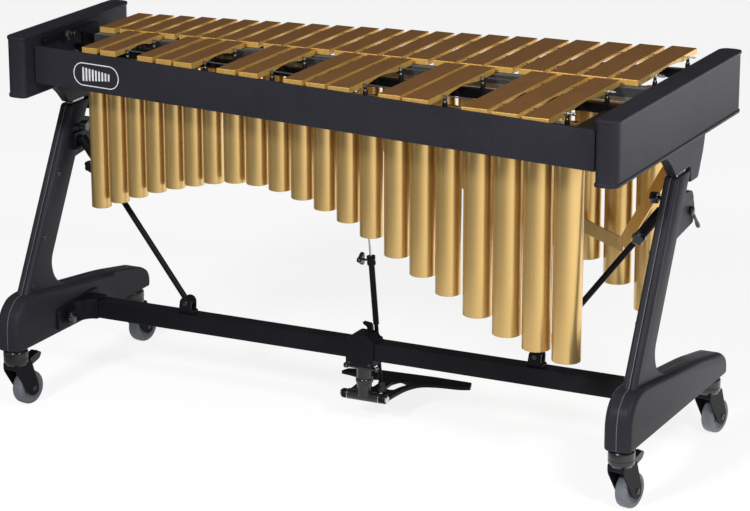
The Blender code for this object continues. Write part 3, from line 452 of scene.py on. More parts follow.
def both_ways(half):
    """A closed lathe profile from the half of it above its middle plane, inside to outside."""
    below = [(radius, -height) for radius, height in half]
    return half + below[::-1] + half[:1]


def add_bevel(made, width, segments=2, angle=38):
    modifier = made.modifiers.new("Bevel", "BEVEL")
    modifier.width = width
    modifier.segments = segments
    modifier.limit_method = "ANGLE"
    modifier.angle_limit = math.radians(angle)
    modifier.harden_normals = True
    return made


def box(low, high):
    bm = bmesh.new()
    low, high = Vector(low), Vector(high)
    size = Matrix.Diagonal((*(high - low), 1))
    bmesh.ops.create_cube(bm, size=1, matrix=Matrix.Translation((low + high) / 2) @ size)
    return bm


def rod(start, end, radius, sides=24, bm=None):
    bm = bm or bmesh.new()
    start, end = Vector(start), Vector(end)
    along = end - start
    bmesh.ops.create_cone(
        bm, cap_ends=True, segments=sides, radius1=radius, radius2=radius,
        depth=along.length, matrix=at((start + end) / 2, along),
    )
    return bm


def at(place, direction):
    """The frame at a point whose Z runs along a direction."""
    return Matrix.Translation(place) @ Vector(direction).to_track_quat("Z",
                                                                       "Y").to_matrix().to_4x4()


def stitch(bm, rings, closed=False, capped=False):
    """Quads between rings of as many vertices; `closed` joins the last ring to the first."""
    for near, far in zip(rings, rings[1:] + rings[:1] if closed else rings[1:]):
        for i in range(len(near)):
            j = (i + 1) % len(near)
            bm.faces.new((near[i], near[j], far[j], far[i]))
    if capped:
        bm.faces.new(rings[0])
        bm.faces.new(rings[-1])
    return bm


def lathe(profile, sides, place=Matrix(), bm=None):
    """(radius, height) points spun about Z and placed; a radius of 0 closes the end in a point."""
    bm = bm or bmesh.new()
    rings = []
    for radius, height in profile:
        turns = (2 * math.pi * (k + 0.5) / sides for k in range(sides if radius else 1))
        rings.append([
            bm.verts.new(place @ Vector((radius * math.cos(a), radius * math.sin(a),
                                         height))) for a in turns
        ])
    for low, high in zip(rings, rings[1:]):
        if len(low) == len(high) == 1:
            continue
        for k in range(sides):
            j = (k + 1) % sides
            if len(low) == 1:
                bm.faces.new((low[0], high[j], high[k]))
            elif len(high) == 1:
                bm.faces.new((low[k], low[j], high[0]))
            else:
                bm.faces.new((low[k], low[j], high[j], high[k]))
    return bm


def prism(points, axis, low, high, bm=None):
    """2-D points pushed along an axis: (y, z) along X, (x, z) along Y, (x, y) along Z."""
    bm = bm or bmesh.new()

    def place(a, b, depth):
        return {"X": (depth, a, b), "Y": (a, depth, b), "Z": (a, b, depth)}[axis]

    ends = [[bm.verts.new(place(a, b, depth)) for a, b in points] for depth in sorted((low, high))]
    return stitch(bm, ends, capped=True)


def rounded(points, steps=5):
    """An outline whose corners (a, b, reach) are turned into curves that start `reach` away."""
    made = []
    count = len(points)
    for i, (a, b, reach) in enumerate(points):
        here = Vector((a, b))
        before = Vector(points[i - 1][:2]) - here
        after = Vector(points[(i + 1) % count][:2]) - here
        reach = min(reach, before.length * 0.49, after.length * 0.49)
        if reach <= 0:
            made.append((a, b))
            continue
        start, end = here + before.normalized() * reach, here + after.normalized() * reach
        for step in range(steps + 1):
            t = step / steps
            point = (1 - t) ** 2 * start + 2 * t * (1 - t) * here + t**2 * end
            made.append((point.x, point.y))
    return made


def rounded_box(a_low, b_low, a_high, b_high, reach, steps=5):
    corners = ((a_low, b_low), (a_high, b_low), (a_high, b_high), (a_low, b_high))
    return rounded([(a, b, reach) for a, b in corners], steps)


def arc(centre, radius, start, end, steps):
    return [
        (centre[0] + radius * math.cos(a), centre[1] + radius * math.sin(a))
        for a in (math.radians(start + (end - start) * i / steps) for i in range(steps + 1))
    ]


def moved(bm, place):
    bmesh.ops.transform(bm, matrix=place, verts=bm.verts)
    return bm


def join(*parts):
    """Several bmeshes as one, left as separate shells."""
    whole = parts[0]
    for part in parts[1:]:
        mesh = bpy.data.meshes.new("part")
        part.to_mesh(mesh)
        part.free()
        whole.from_mesh(mesh)
        bpy.data.meshes.remove(mesh)
    return whole


def boolean(target, tool, operation):
    """A bmesh joined to, or cut from, another; both are used up."""
    objects = []
    for bm in (target, tool):
        bmesh.ops.remove_doubles(bm, verts=bm.verts, dist=1e-6)
        bmesh.ops.recalc_face_normals(bm, faces=bm.faces)
        mesh = bpy.data.meshes.new("operand")
        bm.to_mesh(mesh)
        bm.free()
        operand = bpy.data.objects.new("operand", mesh)
        bpy.context.scene.collection.objects.link(operand)
        objects.append(operand)
    modifier = objects[0].modifiers.new("Boolean", "BOOLEAN")
    modifier.operation, modifier.solver, modifier.object = operation, "EXACT", objects[1]
    graph = bpy.context.evaluated_depsgraph_get()
    result = bpy.data.meshes.new_from_object(objects[0].evaluated_get(graph))
    made = bmesh.new()
    made.from_mesh(result)
    bpy.data.meshes.remove(result)
    for operand in objects:
        mesh = operand.data
        bpy.data.objects.remove(operand)
        bpy.data.meshes.remove(mesh)
    return made


def lobed(place, radius, lobes, depth, height, sides=60, bm=None):
    """A knob with finger lobes, its ends rounded, standing on the placed XY plane."""
    bm = bm or bmesh.new()
    levels = [(0.0, 0.86), (0.1, 0.97), (0.25, 1.0), (0.75, 1.0), (0.9, 0.95), (1.0, 0.8)]
    rings = []
    for share, scale in levels:
        ring = []
        for k in range(sides):
            a = 2 * math.pi * k / sides
            r = radius * scale * (1 - depth * (0.5 - 0.5 * math.cos(lobes * a)))
            ring.append(bm.verts.new(place @ Vector((r * math.cos(a), r * math.sin(a),
                                                     share * height))))
        rings.append(ring)
    return stitch(bm, rings, capped=True)


def bolt(place, radius, height, bm=None):
    """A round screw head with a domed top and a driver recess, on the placed XY plane."""
    profile = [
        (0, 0), (radius, 0), (radius, 0.55 * height), (radius * 0.86, 0.88 * height),
        (radius * 0.55, height), (radius * 0.48, height), (radius * 0.44, 0.55 * height),
        (0, 0.5 * height),
    ]
    return lathe(profile, 24, place, bm=bm)


class Line:
    """A straight line in plan, y = middle + slope * x."""

    def __init__(self, middle, slope):
        self.middle, self.slope = middle, slope

    def y(self, x):
        return self.middle + self.slope * x


# Bars: sizes as in the CAD model

GAP = 0.0003
LENGTH = 1.46
BAR_TOP, BAR_THICK, BAR_GAP = 0.804, 0.0127, 0.0115
NATURAL_WIDTHS = [0.038] * 7 + [0.0445] * 7 + [0.0495] * 3 + [0.0572] * 5
HIGHEST_EDGE = -0.6485
CORD_HEIGHT = BAR_TOP - BAR_THICK * 0.42
NATURAL_BACK, NATURAL_FRONT = Line(0.3107, 0.1733), Line(0.0543, 0.0298)
ACCIDENTAL_BACK, ACCIDENTAL_FRONT = Line(0.0451, 0.0262), Line(-0.2342, -0.1374)
NATURAL_TUBES, ACCIDENTAL_TUBES = Line(0.18, 0.09), Line(-0.0905, -0.073)
FRONT_RAIL_FACE = Line(-0.26, -0.118)
SHARPS_AFTER = (2, 3, 5, 6, 7, 9, 10, 12, 13, 14, 16, 17, 19, 20, 21)
NODE_SHARE = 0.224
BLOCK_TOP, BLOCK_BOTTOM, BLOCK_THICK = 0.825, 0.692, 0.05
INNER_FACE = LENGTH / 2 - BLOCK_THICK - GAP
BEARER_TOP, BEARER_HIGH, BEARER_WIDE = 0.774, 0.02, 0.016


def natural_bars():
    bars, edge = [], HIGHEST_EDGE
    for width in NATURAL_WIDTHS:
        x = edge + width / 2
        bars.append((x, width, NATURAL_FRONT.y(x), NATURAL_BACK.y(x)))
        edge += width + BAR_GAP
    return bars


NATURALS = natural_bars()
GAPS = [x + width / 2 + BAR_GAP / 2 for x, width, _, _ in NATURALS[:-1]]
ACCIDENTALS = [
    (GAPS[k - 1], NATURAL_WIDTHS[k] - 0.001, ACCIDENTAL_FRONT.y(GAPS[k - 1]),
     ACCIDENTAL_BACK.y(GAPS[k - 1]))
    for k in SHARPS_AFTER
]


def node_lines(front, back):
    return [
        Line(
            front.middle + share * (back.middle - front.middle),
            front.slope + share * (back.slope - front.slope),
        )
        for share in (NODE_SHARE, 1 - NODE_SHARE)
    ]


NATURAL_NODES = node_lines(NATURAL_FRONT, NATURAL_BACK)
ACCIDENTAL_NODES = node_lines(ACCIDENTAL_FRONT, ACCIDENTAL_BACK)


def bar(name, x, width, front, back, node):
    """One bar with rounded edges, undercut in an arch below its middle."""
    length, middle, bottom = back - front, (front + back) / 2, BAR_TOP - BAR_THICK
    arch = []
    for k in range(17):
        s = -0.235 + 0.47 * k / 16
        arch.append((middle + s * length, bottom + 0.007 * (1 - (s / 0.235) ** 2)))
    outline = [(front, bottom), *arch, (back, bottom), (back, BAR_TOP), (front, BAR_TOP)]
    bm = prism(outline, "X", x - width / 2, x + width / 2)
    return piece(name, bm, "upper_frame", "gold_bar", node, bevel=0.0011, segments=3, angle=42)


def cord(name, line, start, end, look, *nodes):
    """A stretch of the cord that a row of bars hangs on."""
    bm = bmesh.new()
    steps = max(2, round((end - start) / 0.02))
    along = [start + (end - start) * k / steps for k in range(steps + 1)]
    points = [Vector((x, line.y(x), CORD_HEIGHT)) for x in along]
    for a, b in zip(points, points[1:]):
        rod(a, b + (b - a) * 0.02, 0.0013, 10, bm=bm)
    if look == "white_cord":
        for share in (0.35, 0.75):
            spot = points[0].lerp(points[-1], share)
            lathe(mm((0, -3), (2.2, -2), (2.7, 0), (2.2, 2), (0, 3)), 12,
                  at(spot, (1, line.slope, 0)), bm=bm)
    return piece(name, bm, "upper_frame", "grey_felt", *nodes, look=look)


def spring(name, line, start, end):
    bm = bmesh.new()
    turns, sides = 9, 14
    path = []
    along = Vector((1, line.slope, 0)).normalized()
    side = Vector((0, 0, 1)).cross(along)
    for k in range(turns * sides + 1):
        a = 2 * math.pi * k / sides
        centre = Vector((start, line.y(start),
                         CORD_HEIGHT)) + along * ((end - start) * k / (turns * sides))
        path.append(centre + 0.003 * (side * math.cos(a) + Vector((0, 0, 1)) * math.sin(a)))
    for a, b in zip(path, path[1:]):
        rod(a, b + (b - a) * 0.1, 0.00055, 6, bm=bm)
    return piece(name, bm, "upper_frame", "plated_steel")


def bearer(name, line, posts_at):
    """A rail from block to block, its cord posts and their steel pins."""
    half = BEARER_WIDE / 2
    corners = [(-INNER_FACE, line.y(-INNER_FACE) - half), (INNER_FACE, line.y(INNER_FACE) - half)]
    corners += [(INNER_FACE, line.y(INNER_FACE) + half), (-INNER_FACE, line.y(-INNER_FACE) + half)]
    rail = prism(corners, "Z", BEARER_TOP - BEARER_HIGH, BEARER_TOP)
    posts, pins = bmesh.new(), bmesh.new()
    for x in posts_at:
        foot = Matrix.Translation((x, line.y(x), BEARER_TOP))
        lathe(mm((0, -2), (5.4, -2), (5.5, 6), (5, 10.5), (4, 13.5),
                      (3.2, 15), (3.6, 16.5), (3.6, 19.5), (2.8, 21.2), (0, 21.4)), 20, foot,
                      bm=posts)
        for dy in (-0.0026, 0.0026):
            spot = Vector((x, line.y(x) + dy, BEARER_TOP + 0.015))
            rod(spot, spot + Vector((0, dy * 0.15, 0.0125)), 0.0007, 8, bm=pins)
    coated(name, rail, "upper_frame", name, bevel=0.0012)
    plastic(f"{name}_posts", posts, "upper_frame")
    piece(f"{name}_pins", pins, "upper_frame", "plated_steel")


def build_bars():
    for k, entry in enumerate(NATURALS):
        bar(f"natural_bar_{k + 1:02d}", *entry, "natural_bars")
    for k, entry in enumerate(ACCIDENTALS):
        bar(f"accidental_bar_{k + 1:02d}", *entry, "accidental_bars")
    for kind, bars, lines in (("natural", NATURALS, NATURAL_NODES),
                              ("accidental", ACCIDENTALS, ACCIDENTAL_NODES)):
        posts = []
        for x, width, _, _ in bars:
            for place in (x - width / 2 - BAR_GAP / 2, x + width / 2 + BAR_GAP / 2):
                if all(abs(place - other) > 0.006 for other in posts):
                    posts.append(place)
        for place, line in zip(("front", "rear"), lines):
            last = bars[-1][0]
            half = bars[-1][1] / 2
            cord(f"{kind}_cord_{place}", line, bars[0][0] - 0.03, last + half, "dark_cord",
                 f"{kind}_bars")
            cord(f"{kind}_cord_{place}_end", line, last + half, last + 0.052, "white_cord")
            bearer(f"{kind}_bearer_{place}", line, posts)
        spring(f"{kind}_cord_spring", lines[0], bars[-1][0] + 0.04, bars[-1][0] + 0.055)


# Resonators

TUBE_TOP, TUBE_WALL = 0.744, 0.002
TUBE_SHARE = 0.885
SHAFT_HEIGHT = 0.752
ARCH = (
    (-0.605, 0.421), (-0.41, 0.491), (-0.2, 0.529), (0.02, 0.482),
    (0.2, 0.392), (0.4, 0.294), (0.54, 0.258),
)


def smooth_through(points, x):
    for (x0, y0), (x1, y1) in zip(points, points[1:]):
        if x <= x1:
            break
    i = points.index((x0, y0))

    def slope(k):
        before, after = points[max(k - 1, 0)], points[min(k + 1, len(points) - 1)]
        return (after[1] - before[1]) / (after[0] - before[0])

    t = max(0.0, min(1.0, (x - x0) / (x1 - x0)))
    wide = x1 - x0
    return (
        (2 * t**3 - 3 * t**2 + 1) * y0
        + (t**3 - 2 * t**2 + t) * wide * slope(i)
        + (-2 * t**3 + 3 * t**2) * y1
        + (t**3 - t**2) * wide * slope(i + 1)
    )


def tube_radius(k):
    return TUBE_SHARE * (NATURAL_WIDTHS[k] + BAR_GAP) / 2


def natural_bottom(k):
    note = 12 * (k // 7) + (0, 1, 3, 5, 7, 8, 10)[k % 7]
    frequency = 1396.9 / 2 ** (note / 12)
    return TUBE_TOP - (344.0 / (4 * frequency) - 0.61 * tube_radius(k))


def tube(name, x, y, radius, bottom, node):
    """A tube open at the top, with a pressed-in cap and a rolled rim."""
    bore, top = radius - TUBE_WALL, TUBE_TOP
    profile = [
        (0, bottom + 0.0008), (radius * 0.8, bottom + 0.0008), (radius * 0.84, bottom),
        (radius * 0.95, bottom), (radius * 0.99, bottom + 0.0009), (radius, bottom + 0.0024),
        (radius, bottom + 0.25 * (top - bottom)), (radius, bottom + 0.5 * (top - bottom)),
        (radius, bottom + 0.75 * (top - bottom)), (radius, top - 0.0012),
        (radius - 0.0005, top - 0.0003),
        (radius - 0.0012, top), (bore, top - 0.0006), (bore, bottom + 0.006), (0, bottom + 0.006),
    ]
    bm = lathe(profile, 56, Matrix.Translation((x, y, 0)))
    return piece(name, bm, "upper_frame", "champagne_tube", node)


def bank_rails(kind, tubes, line, short_side, node):
    """The two flat rails along a bank and the bearing plate for the fan shaft at each end."""
    plates_at = (tubes[0][0] - tubes[0][2] - 0.0095, tubes[-1][0] + tubes[-1][2] + 0.0095)
    for side, place in ((-1, "front"), (1, "rear")):
        start = plates_at[0] if side == short_side else -INNER_FACE
        stations = [(start, tubes[0][2])] + [(t[0], t[2]) for t in tubes] + [(INNER_FACE,
                                                                              tubes[-1][2])]
        near = [(x, line.y(x) + side * (r - 0.001)) for x, r in stations]
        far = [(x, line.y(x) + side * (r + 0.0016)) for x, r in stations]
        rail = prism(near + far[::-1], "Z", TUBE_TOP - 0.03, TUBE_TOP - 0.008)
        piece(f"{kind}_bank_rail_{place}", rail, "upper_frame", "champagne_tube", node,
              bevel=0.0005, segments=1)
    screws = bmesh.new()
    for x, entry, side, end in zip(plates_at, (tubes[0], tubes[-1]), (-1, 1), ("high", "low")):
        y, reach = line.y(x), entry[2] + 0.001
        outline = rounded(
            [(y - reach, TUBE_TOP - 0.028, 0.002), (y + reach, TUBE_TOP - 0.028, 0.002),
             (y + reach, TUBE_TOP - 0.004, 0.006), (y + 0.01, SHAFT_HEIGHT + 0.009, 0.006),
             (y - 0.01, SHAFT_HEIGHT + 0.009, 0.006), (y - reach, TUBE_TOP - 0.004, 0.006)]
        )
        plate = prism(outline, "X", x - 0.0015, x + 0.0015)
        piece(f"{kind}_bearing_plate_{end}", plate, "upper_frame", "champagne_tube", node,
              bevel=0.0005, segments=1)
        for dy in (-0.011, 0.011):
            place = at((x + side * 0.0015, y + dy, TUBE_TOP - 0.012), (side, 0, 0))
            bolt(place, 0.003, 0.0018, bm=screws)
    piece(f"{kind}_bearing_screws", screws, "upper_frame", "plated_steel")


def build_resonators():
    naturals = [
        (x, NATURAL_TUBES.y(x), tube_radius(k), natural_bottom(k)) for k,
        (x, _, _, _) in enumerate(NATURALS)
    ]
    accidentals = [
        (x, ACCIDENTAL_TUBES.y(x), tube_radius(k), smooth_through(ARCH, x)) for k,
        x in enumerate(GAPS)
    ]
    for kind, tubes, line, short in (
        ("natural", naturals, NATURAL_TUBES, -1), ("accidental", accidentals, ACCIDENTAL_TUBES, 1),
    ):
        node = f"{kind}_resonators"
        for k, entry in enumerate(tubes):
            tube(f"{kind}_tube_{k + 1:02d}", *entry, node)
        bank_rails(kind, tubes, line, short, node)


# Upper frame

RAIL_TOP, RAIL_BOTTOM, RAIL_THICK = 0.8, 0.7187, 0.01
HIGH_BLOCK_HALF, LOW_BLOCK_HALF = 0.2212, 0.3515
BADGE_AT, BADGE_HALF_WIDE, BADGE_HALF_HIGH = (-0.514, 0.7555), 0.0605, 0.025
# Size and height of the dark sheet of painted shade inside the low block.
SHADE_SHEET_WIDE, SHADE_SHEET_HEIGHT, SHADE_SHEET_THICK = 0.1, 0.7635, 0.0025


def block_plan(side, half, inset):
    """The block from above: its front outer corner is broad, the others tighter."""
    inner, outer = side * (LENGTH / 2 - BLOCK_THICK + inset), side * (LENGTH / 2 - inset)
    half -= inset
    return rounded(
        [(inner, -half, 0.014), (outer, -half, 0.03), (outer, half, 0.018), (inner, half, 0.024)],
        12
    )


def end_block(name, side, half):
    """A tall block with rounded corners and a soft lip round its top and bottom."""
    low, high = BLOCK_BOTTOM, BLOCK_TOP
    levels = [
        (0.0016, low), (0.0004, low + 0.0005), (0, low + 0.0016), (0, low + 0.0058),
        (0.0005, low + 0.0068),
        (0.0014, low + 0.0074), (0.0018, low + 0.009), (0.0018, high - 0.009),
        (0.0014, high - 0.0074),
        (0.0005, high - 0.0068), (0, high - 0.0058), (0, high - 0.002), (0.0006, high - 0.0006),
        (0.0022, high), (0.005, high),
    ]
    bm = bmesh.new()
    rings = []
    for inset, z in levels:
        rings.append([bm.verts.new((x, y, z)) for x, y in block_plan(side, half, inset)])
    stitch(bm, rings, capped=True)
    return piece(name, bm, "upper_frame", "charcoal_coat", name, round_angle=60)


def on_rail(x, z):
    """The frame of a point on the front rail's face: X along it, Z out of it."""
    along = Vector((1, FRONT_RAIL_FACE.slope, 0)).normalized()
    out = Vector((FRONT_RAIL_FACE.slope, -1, 0)).normalized()
    turn = Matrix((along, Vector((0, 0, 1)), out)).transposed().to_4x4()
    return Matrix.Translation((x, FRONT_RAIL_FACE.y(x), z)) @ turn


def build_badge():
    """A blank pill-shaped ring with a row of short strokes, raised a little on the rail."""
    place = on_rail(*BADGE_AT)
    bm = bmesh.new()

    def pill(inset):
        radius = BADGE_HALF_HIGH - inset
        middle = BADGE_HALF_WIDE - BADGE_HALF_HIGH
        return arc((middle, 0), radius, -90, 90, 20) + arc((-middle, 0), radius, 90, 270, 20)

    rings = []
    for inset, depth in ((0, -0.001), (0, 0.0006), (0.0004, 0.0009), (0.0016, 0.0009),
                         (0.002, 0.0006), (0.002, -0.001)):
        rings.append([bm.verts.new(place @ Vector((a, b, depth))) for a, b in pill(inset)])
    stitch(bm, rings, closed=True)
    for k in range(9):
        a = -0.034 + 0.0085 * k
        high = 0.015 - 0.0009 * k
        outline = rounded_box(a - 0.0021, -high, a + 0.0021, high, 0.0008, 3)
        stroke = prism(outline, "Z", -0.001, 0.0007)
        bm = join(bm, moved(stroke, place))
    piece("front_rail_badge", bm, "upper_frame", "aluminium_bar", look="pale_print")


def build_upper_frame():
    end_block("end_block_high", -1, HIGH_BLOCK_HALF)
    end_block("end_block_low", 1, LOW_BLOCK_HALF)
    low, high = FRONT_RAIL_FACE.y(-INNER_FACE), FRONT_RAIL_FACE.y(INNER_FACE)
    corners = [(-INNER_FACE, low), (INNER_FACE, high), (INNER_FACE, high + RAIL_THICK),
               (-INNER_FACE, low + RAIL_THICK)]
    rail = prism(corners, "Z", RAIL_BOTTOM, RAIL_TOP)
    piece("front_rail", rail, "upper_frame", "charcoal_coat", "front_rail", bevel=0.0022,
          segments=4)
    build_badge()
    # A dark coated sheet inside the low block, not a real part: painted shade that keeps the white
    # background from showing through gaps that are in shade.
    plan = rounded_box(INNER_FACE - SHADE_SHEET_WIDE, -0.29, INNER_FACE, -0.03, 0.004)
    coated("low_block_shade_sheet", prism(plan, "Z", SHADE_SHEET_HEIGHT, SHADE_SHEET_HEIGHT + SHADE_SHEET_THICK),
           "upper_frame", bevel=0.0006)


# Stand

LEG_X, LEAN = 0.712, 0.53
FOOT_HALF, POST_HALF, POST_DEEP, POST_TOP = 0.029, 0.015, 0.078, 0.632
FOOT_BOTTOM = 0.135
POST_FRONT_AT_FOOT = Vector((0.0, -0.205, 0.27))
CHANNEL_HALF, CHANNEL_FLOOR, LUG_HALF = 0.0085, 0.4, 0.0115


def post_y(z, across=0.0):
    return POST_FRONT_AT_FOOT.y + LEAN * (z - POST_FRONT_AT_FOOT.z) + across * POST_DEEP


def foot_outline(inset):
    low = FOOT_BOTTOM + 0.3 * inset
    return rounded([
        (-0.277 + inset, low, 0.006),
        (-0.277 + inset, 0.19, 0.02),
        (-0.267 + inset, 0.222 - 0.5 * inset, 0.014),
        (-0.24 + 0.5 * inset, 0.246 - inset, 0.014),
        (-0.2, 0.252 - inset, 0.03),
        (-0.05, 0.233 - inset, 0.03),
        (0.12, 0.213 - inset, 0.03),
        (0.255, 0.189 - inset, 0.014),
        (0.279 - 0.7 * inset, 0.175 - 0.7 * inset, 0.01),
        (0.288 - inset, 0.157, 0.008),
        (0.288 - inset, low, 0.006),
    ])


def post_outline(inset):
    top = POST_TOP
    return rounded([
        (post_y(0.22) + inset, 0.22, 0),
        (-0.03 - inset, 0.22, 0),
        (-0.03 - inset, 0.227 - inset / 2, 0),
        (-0.075 - inset, 0.24, 0.022),
        (-0.1 - inset, 0.262, 0.022),
        (post_y(0.3, 1) - inset, 0.3, 0.022),
        (post_y(top, 1) - inset, top, 0.006),
        (post_y(top) + inset, top, 0.006),
    ])


def layered(outline, layers, seam, outward):
    bm = bmesh.new()
    rings = [
        [bm.verts.new((seam + outward * depth, y, z)) for y, z in outline(inset)] for depth,
        inset in layers
    ]
    return stitch(bm, rings, capped=True)


def rounding(start, flat, end, reach, steps=6):
    """(depth, inset) pairs from the seam to a face whose edge is rounded over `reach`."""
    layers = [(start, 0.001), (start + 0.001, 0), (flat, 0)]
    for k in range(1, steps + 1):
        a = math.pi / 2 * k / steps
        layers.append((flat + (end - flat) * math.sin(a), reach * (1 - math.cos(a))))
    return layers


def leg_shell(name, side, outward):
    seam = side * LEG_X
    start = 0.0006
    foot = layered(foot_outline, rounding(start, 0.0165, FOOT_HALF, 0.012), seam, outward)
    post = layered(post_outline, rounding(start, 0.007, POST_HALF, 0.0075), seam, outward)
    shell = boolean(foot, post, "UNION")
    if outward == side:
        lug = rounded([
            (post_y(0.585, 1) - 0.006, 0.588, 0), (0.082, 0.586, 0.006), (0.091, 0.574, 0.005),
            (0.093, 0.562, 0.004),
            (0.098, 0.552, 0.005), (0.097, 0.538, 0.004), (0.0945, 0.528, 0.004),
            (0.094, 0.516, 0.006),
            (post_y(0.505, 1) - 0.006, 0.503, 0),
        ])
        lug = prism(lug, "X", seam + side * start, seam + side * LUG_HALF)
        shell = boolean(shell, lug, "UNION")
    else:
        x_low, x_high = sorted((seam + outward * 0.0235, seam + outward * 0.05))
        shell = boolean(shell, box((x_low, 0.128, 0.1), (x_high, 0.32, 0.26)), "DIFFERENCE")
    below = [(post_y(CHANNEL_FLOOR, 0.16), CHANNEL_FLOOR),
             (post_y(CHANNEL_FLOOR, 0.84), CHANNEL_FLOOR)]
    top = POST_TOP + 0.02
    outline = below + [(post_y(top, 0.84), top), (post_y(top, 0.16), top)]
    channel = prism(outline, "X", seam - outward * 0.01, seam + outward * CHANNEL_HALF)
    shell = boolean(shell, channel, "DIFFERENCE")
    return piece(name, shell, "stand", "charcoal_coat", name, round_angle=42)


def leg_seam(name, side):
    """The thin grey line where the two castings of a leg meet."""
    strip = layered(foot_outline, [(-0.0004, 0.0002), (0.0004, 0.0002)], side * LEG_X, 1)
    post = layered(post_outline, [(-0.0004, 0.0002), (0.0004, 0.0002)], side * LEG_X, 1)
    bm = boolean(strip, post, "UNION")
    top = POST_TOP + 0.02
    hollow = [(post_y(CHANNEL_FLOOR, 0.14), CHANNEL_FLOOR - 0.004),
              (post_y(CHANNEL_FLOOR, 0.86), CHANNEL_FLOOR - 0.004)]
    hollow += [(post_y(top, 0.86), top), (post_y(top, 0.14), top)]
    cut = prism(hollow, "X", side * LEG_X - 0.01, side * LEG_X + 0.01)
    piece(name, boolean(bm, cut, "DIFFERENCE"), "stand", "charcoal_coat", look="grey_tyre")


def leg_bolts(name, side):
    """The screws on a leg's inner face and on its lug."""
    bm = bmesh.new()
    for z, across in ((0.491, 0.16), (0.361, 0.2), (0.262, 0.2)):
        place = (side * (LEG_X - POST_HALF + 0.0002), post_y(z, across), z)
        bolt(at(place, (-side, 0, 0)), 0.0055, 0.0026, bm=bm)
    for y, z in ((0.0905, 0.57), (0.094, 0.545), (0.0885, 0.522)):
        place = at((side * (LEG_X + LUG_HALF - 0.0002), y - 0.004, z), (side, 0, 0))
        bolt(place, 0.0024, 0.0014, bm=bm)
    plastic(name, bm, "stand")


def build_legs():
    for side, name in ((-1, "high"), (1, "low")):
        leg_shell(f"leg_{name}_outer_shell", side, side)
        leg_shell(f"leg_{name}_inner_shell", side, -side)
        leg_seam(f"leg_{name}_seam", side)
        leg_bolts(f"leg_{name}_bolts", side)


BEAM_HALF_LONG, BEAM_HALF_WIDE, BEAM_LOW, BEAM_HIGH = 0.64, 0.02, 0.15, 0.189


def build_beam():
    end = BEAM_HALF_LONG - GAP
    beam = box((-end, -BEAM_HALF_WIDE, BEAM_LOW), (end, BEAM_HALF_WIDE, BEAM_HIGH))
    for low, high in ((-0.116, -0.05), (0.084, 0.15)):
        slot = rounded_box(low, -0.005, high, 0.005, 0.005)
        beam = boolean(beam, prism(slot, "Z", 0.1865, 0.2), "DIFFERENCE")
    coated("base_beam", beam, "stand", "base_beam", bevel=0.0026, segments=3, angle=60)


# Casters

CASTER_Y, WHEEL_RADIUS, CASTER_TRAIL = 0.246, 0.0375, 0.034
CASTER_TURN = math.radians(10)


def caster(name, x, y):
    place = Matrix.Translation((x, y, 0)) @ Matrix.Rotation(-CASTER_TURN, 4, "Z")
    axle = Vector((0, CASTER_TRAIL, WHEEL_RADIUS))
    top = FOOT_BOTTOM - GAP
    head = [
        (0, 0.096), (0.0205, 0.0965), (0.0232, 0.0985), (0.024, 0.1015), (0.0262, 0.1035),
        (0.0272, 0.106),
        (0.0272, 0.112), (0.0262, 0.113), (0.0262, 0.115), (0.0275, 0.116), (0.0275, 0.129),
        (0.0266, 0.131), (0.024, 0.133), (0.0235, top), (0, top),
    ]
    body = f"caster_{name}"
    node = f"caster_fork_{name}"
    plastic(f"{body}_head", lathe(head, 48, place), body, node)
    cheek = rounded(mm(
        (-21, 104, 4), (-21, 86, 8), (18, 26, 6), (32, 19.5, 10),
        (47, 24, 10), (50, 40, 12), (28, 104, 4),
    ))
    bm = bmesh.new()
    for low, high in ((-0.0197, -0.0168), (0.0168, 0.0197)):
        prism(cheek, "X", low, high, bm=bm)
    crown = rounded(mm((-21, 88.5, 4), (28, 88.5, 4), (27, 103.5, 4), (-20, 103.5, 4)))
    prism(crown, "X", -0.019, 0.019, bm=bm)
    coated(f"{body}_fork", moved(bm, place), body, node, bevel=0.0008, angle=45)
    pins = bmesh.new()
    for side in (-1, 1):
        bolt(place @ at(axle + Vector((side * 0.0196, 0, 0)), (side, 0, 0)), 0.0058, 0.002, bm=pins)
    piece(f"{body}_axle", pins, body, "plated_steel", look="black_plastic")

    sideways = place @ at(axle, (1, 0, 0))
    tyre = both_ways(mm(
        (24, 10), (25.5, 12), (26.2, 13.6), (30, 14), (33.5, 13.6), (35.8, 12), (37.1, 9.2),
        (37.5, 5.5),
    ))
    wheel, node = f"wheel_{name}", f"caster_wheel_{name}"
    piece(f"{wheel}_tyre", lathe(tyre, 56, sideways), wheel, "grey_tyre", node)
    hub = both_ways(mm(
        (4.4, 15), (7.5, 15), (9, 14.2), (10, 12.8), (11.5, 12), (18, 11.2), (22, 11.6), (24, 12.8),
        (25.6, 12.4), (26.2, 10),
    ))
    piece(f"{wheel}_hub", lathe(hub, 48, sideways), wheel, "grey_tyre", node)
    if name.startswith("front"):
        paddle = rounded(mm(
            (31, 94, 3), (40, 89, 4), (64, 98, 6), (70, 110, 5),
            (61, 115, 4), (33, 106, 3),
        ))
        lever = moved(prism(paddle, "X", -0.0115, 0.0115), place)
        plastic(f"brake_{name}", lever, f"brake_{name}", f"brake_lever_{name}", bevel=0.0014,
                segments=3, angle=45)
        dot = bolt(place @ at((0, 0.0655, 0.1125), (0, 0.45, 0.9)), 0.0032, 0.0012)
        coated(f"brake_{name}_dot", dot, f"brake_{name}", look="pale_print")


# Pedal and damper

PEDAL_AXIS = Vector((0.018, 0.0, 0.06))
ROD_FOOT, ROD_HEAD = Vector((0.036, 0.042, 0.084)), Vector((-0.0226, 0.049, 0.7597))
PEDAL_LOW, PEDAL_HIGH = PEDAL_AXIS.z - 0.0085, PEDAL_AXIS.z - 0.0015


def rod_point(z):
    return ROD_FOOT.lerp(ROD_HEAD, (z - ROD_FOOT.z) / (ROD_HEAD.z - ROD_FOOT.z))


